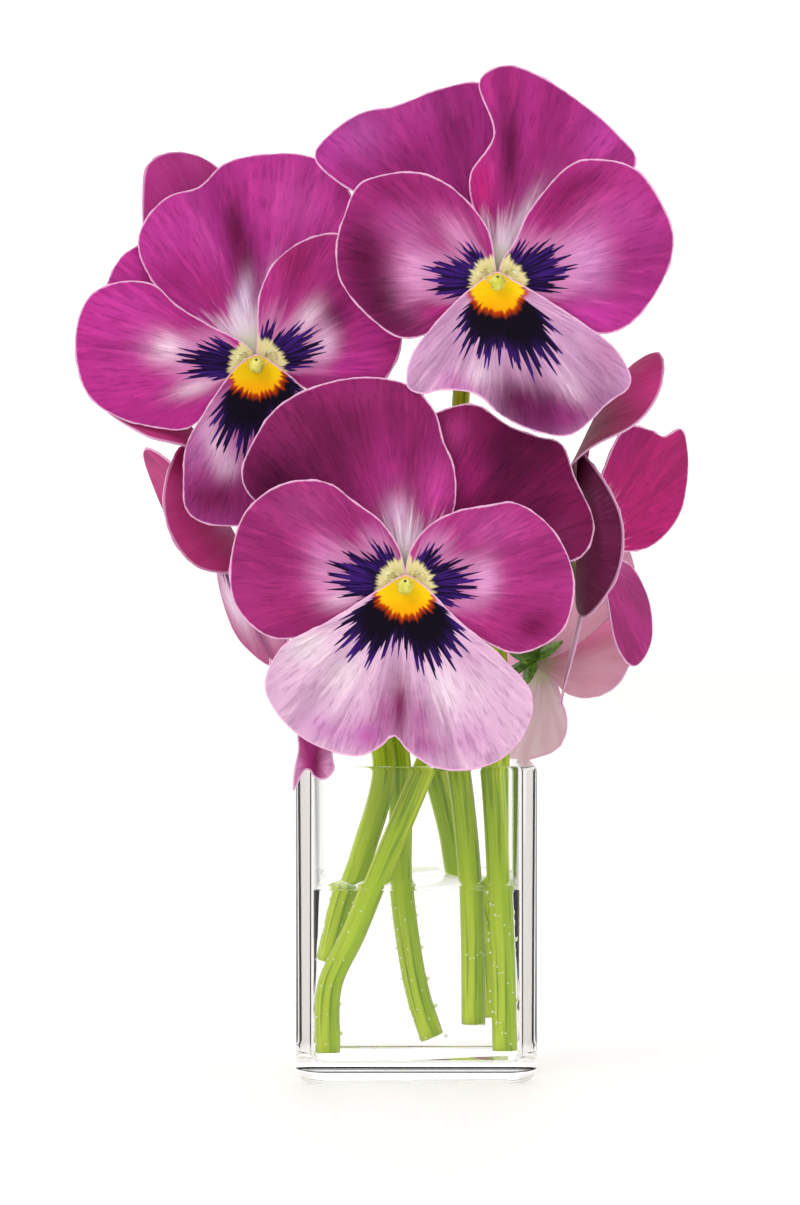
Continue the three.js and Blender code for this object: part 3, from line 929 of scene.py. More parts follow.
@dataclass(frozen=True)
class ClearFinish:
    """Clear glass or water, which lets its shadows through, with painted grey shade at the glass's thick
    corners when a corner colour is given.
    """

    name: str
    ior: float
    tint: str
    ripple: float
    corner: str | None = None

    def make(self) -> bpy.types.Material:
        """Build the material."""
        s = Shader(self.name)
        where = s.add("ShaderNodeTexCoord").outputs["Object"]
        soft = s.grain(where, 70.0, 1.0)
        waves = {"Height": soft, "Strength": self.ripple, "Distance": 0.001}
        bump = s.add("ShaderNodeBump", waves).outputs[0]
        tint: object = colour(self.tint)
        # A corner colour paints grey into the thick upright corners: painted shade standing in for the grey
        # bands those walls show.
        if self.corner:
            parts = s.add("ShaderNodeSeparateXYZ", {0: s.vector("ABSOLUTE", where)}).outputs
            inmost = s.math("MINIMUM", parts[0], parts[1])
            tint = s.mix(s.step(inmost, 0.0172, 0.0186), colour(self.tint), colour(self.corner))
        clear = s.add(
            "ShaderNodeBsdfPrincipled",
            {
                "Base Color": tint,
                "Roughness": 0.0,
                "IOR": self.ior,
                "Transmission Weight": 1.0,
                "Normal": bump,
            },
        ).outputs[0]
        through = s.add("ShaderNodeBsdfTransparent", {"Color": tint}).outputs[0]
        rays = s.add("ShaderNodeLightPath").outputs
        passing = s.math("MAXIMUM", rays["Is Shadow Ray"], rays["Is Diffuse Ray"])
        mixed = s.add("ShaderNodeMixShader", {0: passing, 1: clear, 2: through}).outputs[0]
        return s.finish(mixed)


@dataclass(frozen=True)
class TableFinish:
    """A matt white table top."""

    name: str = "table"
    white: str = "e9e9e8"
    warm: str = "e4e2de"

    def make(self) -> bpy.types.Material:
        """Build the material."""
        s = Shader(self.name)
        where = s.add("ShaderNodeTexCoord").outputs["Object"]
        shade = s.mix(s.grain(where, 6.0, 2.0), colour(self.white), colour(self.warm))
        height = s.add("ShaderNodeSeparateXYZ", {0: where}).outputs[2]
        skin = s.add(
            "ShaderNodeBsdfPrincipled",
            {
                "Base Color": shade,
                "Roughness": 0.6,
                "Specular IOR Level": 0.2,
                "Emission Color": (1, 1, 1, 1),
                "Emission Strength": s.step(height, 0.0, 0.25, 0.15, 0.5),
            },
        )
        return s.finish(skin.outputs[0])


# ---------------------------------------------------------------------------------------------
# The flowers' parts
# ---------------------------------------------------------------------------------------------


@dataclass
class Petal:
    """One petal as a thin curved sheet, painted from its plan."""

    flower: FlowerPlan
    place: str
    plan: PetalPlan
    spokes: int = 96
    rings: int = 20
    thickness: float = 0.3
    scallop: float = 0.22

    @property
    def name(self) -> str:
        """The petal's own name."""
        return f"{self.flower.name}_{self.place}_petal"

    def build(self, front: bpy.types.Material, back: bpy.types.Material) -> bpy.types.Object:
        """Make the sheet and put it in its flower.

        Args:
            front: The front's material.
            back: The back's material.

        Returns:
            The petal.
        """
        bm = bmesh.new()
        shares = [1 - ((self.rings - k) / self.rings) ** 1.7 for k in range(self.rings + 1)]
        disc(bm, self.spokes, shares)
        flat = self.lay_flat(bm)
        self.paint(bm, flat)
        for vert, spot in zip(bm.verts, flat):
            vert.co = self.plan.bent(spot.x, spot.y)
        bm.transform(self.flower.place())
        sheet = piece(f"{self.name}_sheet", bm, (front, back))
        shell = sheet.modifiers.new("thickness", "SOLIDIFY")
        shell.thickness = self.thickness * MM
        shell.offset = 0.0
        shell.material_offset = 1
        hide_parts(self.name)
        return sheet

    def lay_flat(self, bm: bmesh.types.BMesh) -> list[Vector]:
        """Stretch the round disc to the petal's outline.

        Args:
            bm: The disc.

        Returns:
            Each vertex's flat place, in the mesh's order.
        """
        rim = anticlockwise(smooth_loop(self.plan.outline, 4 * self.spokes))
        middle = sum(rim, Vector()) / len(rim)
        flat = []
        for vert in bm.verts:
            share = vert.co.xy.length
            turns = (math.atan2(vert.co.y, vert.co.x) / (2 * math.pi)) % 1.0
            edge = rim[round(turns * len(rim)) % len(rim)]
            far = edge.length
            chance = noise.noise(edge * 0.55 + Vector((self.plan.aim, 0, 3)))
            nick = self.scallop * min(1.0, far / 18) * chance
            spot = middle.lerp(edge, share) + (edge - middle).normalized() * nick * share**6
            flat.append(spot)
        return flat

    def paint(self, bm: bmesh.types.BMesh, flat: Sequence[Vector]) -> None:
        """Keep each point's flat place, its colour with painted shade, and its distance from the rim on the
        mesh.

        Args:
            bm: The flat sheet.
            flat: Each vertex's flat place.
        """
        rim = np.array([tuple(p.xy) for p in smooth_loop(self.plan.outline, 400)])
        # This layer holds the petal's own colour and its painted shade, mixed from the patches.
        tint_and_shade = bm.verts.layers.float_color.new("tint_and_shade")
        edge = bm.verts.layers.float.new("rim")
        for vert, spot in zip(bm.verts, flat):
            vert[tint_and_shade] = (*self.plan.tint(spot.x, spot.y), 1.0)
            gap = np.hypot(rim[:, 0] - spot.x, rim[:, 1] - spot.y).min()
            vert[edge] = 0.0 if vert.co.xy.length > 0.999 else float(gap)
        places = bm.loops.layers.uv.new("flat")
        for face in bm.faces:
            for loop in face.loops:
                loop[places].uv = flat[loop.vert.index].xy / 100


@dataclass
class Pistil:
    """The pale knob in the eye, with its hollow painted dark as shade, and the down on each side of it."""

    flower: FlowerPlan
    radius: float = 1.3
    tilt: float = -42.0
    hairs: int = 90

    def build(self, knob_skin: bpy.types.Material, hollow_shade_skin: bpy.types.Material) -> bpy.types.Object:
        """Make the knob, with a small hollow in its face, painted dark as shade."""
        bm = bmesh.new()
        bmesh.ops.create_uvsphere(bm, u_segments=24, v_segments=14, radius=self.radius)
        for vert in bm.verts:
            level = vert.co.z / self.radius
            vert.co.x *= 1.05 - 0.12 * level
            vert.co.y = vert.co.y * (1.1 - 0.1 * level) + 0.15
            vert.co.z = vert.co.z * 1.2 + 1.05
        tip = max(bm.verts, key=lambda v: v.co.z)
        inner = set(tip.link_faces)
        for face in inner:
            face.material_index = 1
        for vert in {v for f in inner for v in f.verts}:
            vert.co.z -= 0.2
        tip.co.z -= 0.2
        middle = (0, 0.15, 1.05)
        tilt = Matrix.Rotation(math.radians(self.tilt), 3, "X")
        bmesh.ops.rotate(bm, verts=bm.verts[:], cent=middle, matrix=tilt)
        bm.transform(self.flower.place())
        knob = piece(f"{self.flower.name}_knob", bm, (knob_skin, hollow_shade_skin))
        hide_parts(f"{self.flower.name}_pistil")
        return knob

    def down(self, skin: bpy.types.Material) -> bpy.types.Object:
        """Make two tufts of short fine hairs, one on the foot of each side petal."""
        bm = bmesh.new()
        for side in (-1, 1):
            for k in range(self.hairs):
                share = (k + 0.5) / self.hairs
                turn = k * 2.39996
                spread = math.sqrt((k * 0.618034) % 1.0)
                x = side * (2.5 + 1.25 * spread * math.cos(turn))
                y = 1.25 + 1.75 * spread * math.sin(turn)
                root = self.flower.petals["side_right" if side > 0 else "side_left"].bent(x, y)
                lift = Vector((-0.45 * x, 0.25 - 0.12 * y, 1.0)).normalized()
                astray = (noise.noise(Vector((k, side, 0)) * 3.7), noise.noise(Vector((side, k, 4)) * 3.7), 0)
                lift += Vector(astray) * 0.5
                long = 0.8 + 0.5 * share
                stand = lift.to_track_quat("Z", "Y").to_matrix().to_4x4()
                bmesh.ops.create_cone(
                    bm, cap_ends=True, segments=4, radius1=0.13, radius2=0.05, depth=long,
                    matrix=Matrix.Translation(root + lift * long * 0.5) @ stand,
                )
        bm.transform(self.flower.place())
        return piece(f"{self.flower.name}_down", bm, (skin,))


@dataclass
class Calyx:
    """Five pointed sepals on the swollen top of the stem."""

    flower: FlowerPlan
    depth: float = 4.9
    thickness: float = 0.7
    outline: Outline = ((0, 0.5), (-1.9, 3), (-2.1, 6), (-1.2, 9.5), (0, 12), (1.2, 9.5), (2.1, 6), (1.9, 3))

    def build(self, skin: bpy.types.Material) -> bpy.types.Object:
        """Make the sepals and the swollen top as one piece."""
        bm = bmesh.new()
        profile = [(0, -0.1), (2.3, -0.1), (2.75, -0.6), (2.85, -1.4), (2.6, -2.5), (2.2, -4.0), (0, -4.05)]
        line = [bm.verts.new((r, 0, z - self.depth)) for r, z in profile]
        edges = [bm.edges.new(pair) for pair in zip(line, line[1:])]
        spun(bm, [*line, *edges], 24)
        bmesh.ops.remove_doubles(bm, verts=bm.verts[:], dist=1e-4)
        for k in range(5):
            self.sepal(bm, math.radians(72 * k))
        bmesh.ops.recalc_face_normals(bm, faces=bm.faces[:])
        bm.transform(self.flower.place())
        green = piece(f"{self.flower.name}_sepals", bm, (skin,))
        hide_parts(f"{self.flower.name}_calyx")
        return green

    def sepal(self, bm: bmesh.types.BMesh, turn: float) -> None:
        """Add one closed leaf-shaped sepal with a raised midrib.

        Args:
            bm: The calyx's mesh.
            turn: The sepal's angle about the stem.
        """
        leaf = bmesh.new()
        disc(leaf, 28, [0, 0.3, 0.55, 0.75, 0.9, 1.0])
        rim = anticlockwise(smooth_loop(self.outline, 112))
        middle = sum(rim, Vector()) / len(rim)
        for vert in leaf.verts:
            share = vert.co.xy.length
            turns = (math.atan2(vert.co.y, vert.co.x) / (2 * math.pi)) % 1.0
            spot = middle.lerp(rim[round(turns * len(rim)) % len(rim)], share)
            midrib = 0.35 * math.exp(-((spot.x / 0.5) ** 2))
            rise = -self.depth - 0.45 - 0.2 * spot.length - midrib + 0.05 * spot.x**2
            vert.co = Vector((spot.x, spot.y, rise))
        bmesh.ops.recalc_face_normals(leaf, faces=leaf.faces[:])
        bmesh.ops.solidify(leaf, geom=leaf.faces[:], thickness=self.thickness * 0.6)
        leaf.transform(Matrix.Rotation(turn, 4, "Z"))
        mesh = bpy.data.meshes.new("leaf")
        leaf.to_mesh(mesh)
        leaf.free()
        bm.from_mesh(mesh)
        bpy.data.meshes.remove(mesh)


@dataclass
class Stem:
    """A cut stem from the water to the back of its flower."""

    flower: FlowerPlan
    behind: float = 10.1
    straight: float = 6.0
    reach: float = 15.3
    margin: float = 0.5
    sides: int = 20
    step: float = 1.6

    def path(self) -> list[Vector]:
        """The stem's middle line, from its cut end up."""
        eye = Vector((self.flower.eye[0], self.flower.eye[1], VASE_HEIGHT + self.flower.eye[2]))
        ahead = Vector(self.flower.faces).normalized()
        end = eye - ahead * self.behind * self.flower.size
        points = [
            Vector((x * self.reach, y * self.reach, FLOOR + self.margin + share * (VASE_HEIGHT - FLOOR)))
            for x, y, share in self.flower.foot
        ]
        points += [Vector((x, y, VASE_HEIGHT + rise)) for x, y, rise in self.flower.route]
        points += [end - ahead * self.straight, end]
        return smooth_line(points, self.step)

    def build(self, skin: bpy.types.Material) -> bpy.types.Object:
        """Make the stem, thinner over the rim, with soft ridges."""
        line = self.path()
        radii = []
        for spot in line:
            rise = min(1.0, max(0.0, (spot.z - VASE_HEIGHT) / 30))
            radii.append(STEM_RADIUS - 0.12 - 0.55 * rise)
        bm = bmesh.new()
        rod(bm, line, radii, self.sides, 0.09)
        stalk = piece(f"{self.flower.name}_stalk", bm, (skin,))
        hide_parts(f"{self.flower.name}_stem")
        return stalk


@dataclass
class Bubbles:
    """Small air bubbles that cling to the stems under the water, made as opaque pale beads whose whiteness is
    a painted glint.
    """

    stems: tuple[Stem, ...]
    count: int = 260
    smallest: float = 0.12
    largest: float = 0.40

    def build(self, skin: bpy.types.Material) -> bpy.types.Object:
        """Set each bubble on a stem's side, more of them on the middle stems."""
        bm = bmesh.new()
        paths = [[spot for spot in stem.path() if spot.z < WATER_LEVEL - 2] for stem in self.stems]
        for k in range(self.count):
            path = paths[(k * k + k // 3) % len(paths)]
            spot = path[(k * 7) % len(path)]
            angle = 2.39996 * k
            radius = self.smallest + (self.largest - self.smallest) * ((k * 0.618034) % 1.0) ** 2
            aside = Vector((math.cos(angle), math.sin(angle), 0)) * (STEM_RADIUS + 0.6 * radius)
            drift = Vector((0, 0, noise.noise(Vector((k * 1.7, 0, 0)))))
            bmesh.ops.create_icosphere(
                bm, subdivisions=1, radius=radius, matrix=Matrix.Translation(spot + aside + drift)
            )
        return piece("bubbles", bm, (skin,))


@dataclass
class Flower:
    """A whole pansy, built from its plan."""

    plan: FlowerPlan

    def build(self, finishes: "Finishes") -> list[bpy.types.Object]:
        """Make every part of the flower.

        Args:
            finishes: The shared materials.

        Returns:
            The flower's pieces.
        """
        made = []
        for place, petal in self.plan.petals.items():
            front = finishes.petal(self.plan, place, petal)
            made.append(Petal(self.plan, place, petal).build(front, finishes.back))
        pistil = Pistil(self.plan)
        made.append(pistil.build(finishes.knob, finishes.hollow))
        made.append(pistil.down(finishes.down))
        made.append(Calyx(self.plan).build(finishes.leaf))
        made.append(Stem(self.plan).build(finishes.stem))
        return made


class Finishes:
    """Every shared material, made once."""

    def __init__(self) -> None:
        """Make the materials that do not depend on a petal's marks."""
        self.back = PetalBackFinish().make()
        self.stem = StemFinish().make()
        self.leaf = LeafFinish().make()
        self.knob = HeartFinish("knob", "c9c63c", "e3e070", 0.25).make()
        # The hollow's dark olive is painted shade in the knob's small dent.
        self.hollow = HeartFinish("hollow", "5c5210", "3a3208", 0.5).make()
        self.down = HeartFinish("down", "f1ecc4", "e4dc8c", 0.6).make()
        # The glass's corner grey is painted shade at its thick corners.
        self.glass = ClearFinish("glass", 1.3, "ffffff", 0.02, "dcd8d5").make()
        # The bubbles' opaque near-white skin is a painted glint standing in for the light air bubbles throw
        # back.
        self.bubble = HeartFinish("bubble", "fbfdf2", "e3efc4", 0.08).make()
        self.water = ClearFinish("water", 1.2, "ffffff", 0.0).make()
        self.petals: dict[tuple, bpy.types.Material] = {}

    def petal(self, flower: FlowerPlan, place: str, plan: PetalPlan) -> bpy.types.Material:
        """The front material for a petal, shared by petals with the same marks."""
        key = (plan.kind, plan.aim, plan.lobes)
        if key not in self.petals:
            name = f"petal_{flower.name}_{place}"
            seed = 1.7 * len(self.petals)
            self.petals[key] = PetalFinish(name, plan.kind, plan.aim, plan.lobes, seed).make()
        return self.petals[key]


# ---------------------------------------------------------------------------------------------
# The vase and its water
# ---------------------------------------------------------------------------------------------


@dataclass
class Vase:
    """A square pressed-glass vase with a thick floor and walls and a fire-polished rim."""

    width: float = VASE_WIDTH
    height: float = VASE_HEIGHT
    wall: float = WALL
    floor: float = FLOOR
    corner: float = 5.0
    foot: float = 2.4
    heel: float = 2.4
    lip: float = 0.9

    def build(self, skin: bpy.types.Material) -> bpy.types.Object:
        """Shape a block, hollow it and round its edges."""
        bm = bmesh.new()
        bmesh.ops.create_cube(bm, size=1.0)
        size = Matrix.Diagonal((self.width, self.width, self.height, 1))
        bm.transform(Matrix.Translation((0, 0, self.height / 2)) @ size)
        rounded(bm, [e for e in bm.edges if upright(e)], self.corner, 8)
        top = max(bm.faces, key=lambda f: f.calc_center_median().z)
        bmesh.ops.inset_region(bm, faces=[top], thickness=self.wall, use_even_offset=True)
        dug = bmesh.ops.extrude_face_region(bm, geom=[top])
        bmesh.ops.delete(bm, geom=[top], context="FACES_ONLY")
        floor = [g for g in dug["geom"] if isinstance(g, bmesh.types.BMFace)]
        depth = self.floor - self.height
        sunk = [g for g in dug["geom"] if isinstance(g, bmesh.types.BMVert)]
        bmesh.ops.translate(bm, verts=sunk, vec=(0, 0, depth))
        rounded(bm, list({e for f in floor for e in f.edges}), self.heel, 5)
        under = [e for e in bm.edges if all(v.co.z < 1e-4 for v in e.verts) and on_side(e)]
        rounded(bm, under, self.foot, 6)
        brim = [e for e in bm.edges if all(v.co.z > self.height - 1e-4 for v in e.verts) and on_side(e)]
        rounded(bm, brim, self.lip, 4)
        bmesh.ops.recalc_face_normals(bm, faces=bm.faces[:])
        glass = piece("vase_glass", bm, (skin,))
        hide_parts("vase")
        return glass


@dataclass
class Water:
    """The water, a hair short of the glass, with a small meniscus."""

    level: float = WATER_LEVEL
    gap: float = 0.03
    corner: float = 2.0
    heel: float = 2.4
    climb: float = 0.7

    def build(self, skin: bpy.types.Material) -> bpy.types.Object:
        """Shape the block of water."""
        width = VASE_WIDTH - 2 * WALL - 2 * self.gap
        bottom = FLOOR + self.gap
        bm = bmesh.new()
        bmesh.ops.create_cube(bm, size=1.0)
        size = Matrix.Diagonal((width, width, self.level - bottom, 1))
        bm.transform(Matrix.Translation((0, 0, (self.level + bottom) / 2)) @ size)
        rounded(bm, [e for e in bm.edges if upright(e)], self.corner, 8)
        rounded(bm, [e for e in bm.edges if all(v.co.z < bottom + 1e-4 for v in e.verts)], self.heel, 5)
        top = max(bm.faces, key=lambda f: f.calc_center_median().z)
        border = list(top.verts)
        for share in (0.25, 0.5, 0.9):
            bmesh.ops.inset_region(bm, faces=[top], thickness=share, use_even_offset=True)
        for vert in border:
            vert.co.z += self.climb
        for face in [f for v in border for f in v.link_faces]:
            for vert in face.verts:
                if vert not in border and abs(vert.co.z - self.level) < 1e-4:
                    vert.co.z = self.level + self.climb * 0.35
        bmesh.ops.recalc_face_normals(bm, faces=bm.faces[:])
        fill = piece("vase_water", bm, (skin,))
        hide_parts("water")
        return fill


def upright(edge: bmesh.types.BMEdge) -> bool:
    """Whether an edge runs straight up."""
    a, b = (v.co for v in edge.verts)
    return abs(a.x - b.x) < 1e-4 and abs(a.y - b.y) < 1e-4 and abs(a.z - b.z) > 1


def on_side(edge: bmesh.types.BMEdge) -> bool:
    """Whether an edge lies between a level face and an upright one."""
    levels = [abs(f.normal.z) > 0.9 for f in edge.link_faces]
    return len(levels) == 2 and levels[0] != levels[1]


def rounded(bm: bmesh.types.BMesh, edges: list[bmesh.types.BMEdge], radius: float, segments: int) -> None:
    """Round some edges.

    Args:
        bm: The mesh.
        edges: The edges to round.
        radius: How far the rounding reaches from each.
        segments: How many faces go round it.
    """
    bm.normal_update()
    bmesh.ops.bevel(
        bm, geom=edges, offset=radius, offset_type="OFFSET", affect="EDGES", segments=segments, profile=0.5,
        material=-1, clamp_overlap=True,
    )
    bm.normal_update()


# ---------------------------------------------------------------------------------------------
# The studio
# ---------------------------------------------------------------------------------------------


@dataclass
class Studio:
    """A pale table, soft light and a level camera."""

    camera_at: Triple = (-2.87, -800.0, 83.4)
    view_height: float = 214.0
    table_width: float = 5000.0

    def build(self) -> None:
        """Set up the table, the lights, the sky and the camera."""
        bm = bmesh.new()
        half = self.table_width / 2
        line = [bm.verts.new((-half, y, z)) for y, z in ((-half, 0), (half, 0), (half, half))]
        edges = [bm.edges.new(pair) for pair in zip(line, line[1:])]
        swept = bmesh.ops.extrude_edge_only(bm, edges=edges)["geom"]
        moved = [g for g in swept if isinstance(g, bmesh.types.BMVert)]
        bmesh.ops.translate(bm, verts=moved, vec=(2 * half, 0, 0))
        fold = [e for e in bm.edges if len(e.link_faces) == 2]
        rounded(bm, fold, 0.4 * self.table_width, 32)
        for face in bm.faces:
            face.smooth = True
        bm.transform(Matrix.Scale(MM, 4))
        mesh = bpy.data.meshes.new("table")
        bm.to_mesh(mesh)
        bm.free()
        mesh.materials.append(TableFinish().make())
        table = bpy.data.objects.new("table", mesh)
        bpy.context.scene.collection.objects.link(table)
        self.light("key", (-420, -620, 620), 420, 1.9)
        self.light("fill", (620, -520, 320), 520, 0.2)
        self.light("back", (120, 620, 520), 620, 0.8)
        self.sky(0.95)
        self.camera()
        bpy.context.scene.view_settings.view_transform = "Standard"
        bpy.context.scene.view_settings.look = "None"

    def light(self, name: str, at: Triple, width: float, power: float) -> None:
        """Hang a large soft lamp that points at the flowers.

        Args:
            name: The lamp's name.
            at: Where it hangs.
            width: How wide it is.
            power: Its watts.
        """
        lamp = bpy.data.lights.new(name, "AREA")
        lamp.shape = "SQUARE"
        lamp.size = width * MM
        lamp.energy = power
        thing = bpy.data.objects.new(name, lamp)
        thing.location = Vector(at) * MM
        aim = Vector((0, 0, 0.1)) - thing.location
        thing.rotation_euler = aim.to_track_quat("-Z", "Y").to_euler()
        bpy.context.scene.collection.objects.link(thing)

    def sky(self, strength: float) -> None:
        """Surround the scene with even white light."""
        world = bpy.data.worlds.new("sky")
        world.use_nodes = True
        background = world.node_tree.nodes["Background"]
        background.inputs["Color"].default_value = (1, 1, 1, 1)
        background.inputs["Strength"].default_value = strength
        bpy.context.scene.world = world

    def camera(self) -> None:
        """Stand a level camera in front."""
        lens = bpy.data.cameras.new("camera")
        lens.sensor_fit = "VERTICAL"
        lens.sensor_height = 36.0
        lens.lens = 36.0 * -self.camera_at[1] / self.view_height
        lens.clip_start = 0.01
        view = bpy.data.objects.new("camera", lens)
        view.location = Vector(self.camera_at) * MM
        view.rotation_euler = (math.radians(90), 0, 0)
        bpy.context.scene.collection.objects.link(view)
        bpy.context.scene.camera = view


# ---------------------------------------------------------------------------------------------
# The bouquet
# ---------------------------------------------------------------------------------------------


def mirrored(outline: Outline) -> Outline:
    """Swap left and right."""
    return tuple((-x, y) for x, y in outline)


def shrunk(outline: Outline, share: float) -> Outline:
    """Make an outline smaller."""
    return tuple((share * x, share * y) for x, y in outline)


UPPER: Outline = (
    (1, 1.5), (-2, 13), (-2, 24), (1, 31), (8, 35), (16, 33), (22, 27), (24, 19), (18, 10), (9, 4),
)
SIDE: Outline = (
    (0.4, -0.5), (0.6, 4), (3, 8.5), (8, 14), (16, 17), (24, 14), (28, 7), (27, -2), (21, -6.5), (13, -6.5),
    (5, -2.5),
)
LOWER: Outline = (
    (0, 2.2), (-3, 0.6), (-10, -7), (-16, -14), (-17, -21), (-11, -26), (-4, -27.5), (0, -26), (4, -27.5),
    (11, -26), (17, -21), (16, -14), (10, -7), (3, 0.6),
)
SIDE_LEFT_LOBES = (Lobe(172, 28, 12.5), Lobe(135, 15, 9))
SIDE_RIGHT_LOBES = (Lobe(8, 28, 12.5), Lobe(45, 15, 9))
LOWER_LOBES = (Lobe(242, 32, 14), Lobe(298, 32, 14), Lobe(270, 50, 10.5))
# These patches lay the petals' own colour and painted shade.
SIDE_TINTS_AND_SHADES = (TintAndShade(-13, 3, 5, 4.5, "d88cc2", strength=0.8), TintAndShade(13, 3, 5, 4.5, "d88cc2", strength=0.8))
UPPER_TINTS_AND_SHADES = (TintAndShade(-8, 24, 6, 8, "8a1f62", strength=0.7), TintAndShade(8, 24, 6, 8, "8a1f62", strength=0.7))
LOWER_TINTS_AND_SHADES = (
    TintAndShade(-9, -15, 6, 6, "e9cce0"),
    TintAndShade(9, -15, 6, 6, "e9cce0"),
    TintAndShade(0, -20, 2.5, 6, "84306c", strength=0.8),
)


def usual(changes: dict[str, dict] | None = None) -> dict[str, PetalPlan]:
    """The five petals of a flower seen from the side or from behind.

    Args:
        changes: Place to the fields that differ.

    Returns:
        Place to petal.
    """
    plans = {
        "upper_left": PetalPlan(Kind.UPPER, mirrored(UPPER), 115, 3, lean=-0.16, cup=1, tints_and_shades=UPPER_TINTS_AND_SHADES),
        "upper_right": PetalPlan(Kind.UPPER, UPPER, 65, 2, lean=-0.14, cup=1, tints_and_shades=UPPER_TINTS_AND_SHADES),
        "side_left": PetalPlan(
            Kind.SIDE, mirrored(SIDE), 172, 1, lean=0.04, tints_and_shades=SIDE_TINTS_AND_SHADES, lobes=SIDE_LEFT_LOBES
        ),
        "side_right": PetalPlan(
            Kind.SIDE, SIDE, 8, 1, lean=0.04, phase=2, tints_and_shades=SIDE_TINTS_AND_SHADES, lobes=SIDE_RIGHT_LOBES
        ),
        "lower": PetalPlan(
            Kind.LOWER, LOWER, 270, 0, lean=0.1, cup=-0.6, base="cf94bd",
            tints_and_shades=LOWER_TINTS_AND_SHADES, lobes=LOWER_LOBES,
        ),
    }
    for place, fields in (changes or {}).items():
        plans[place] = replace(plans[place], **fields)
    return plans


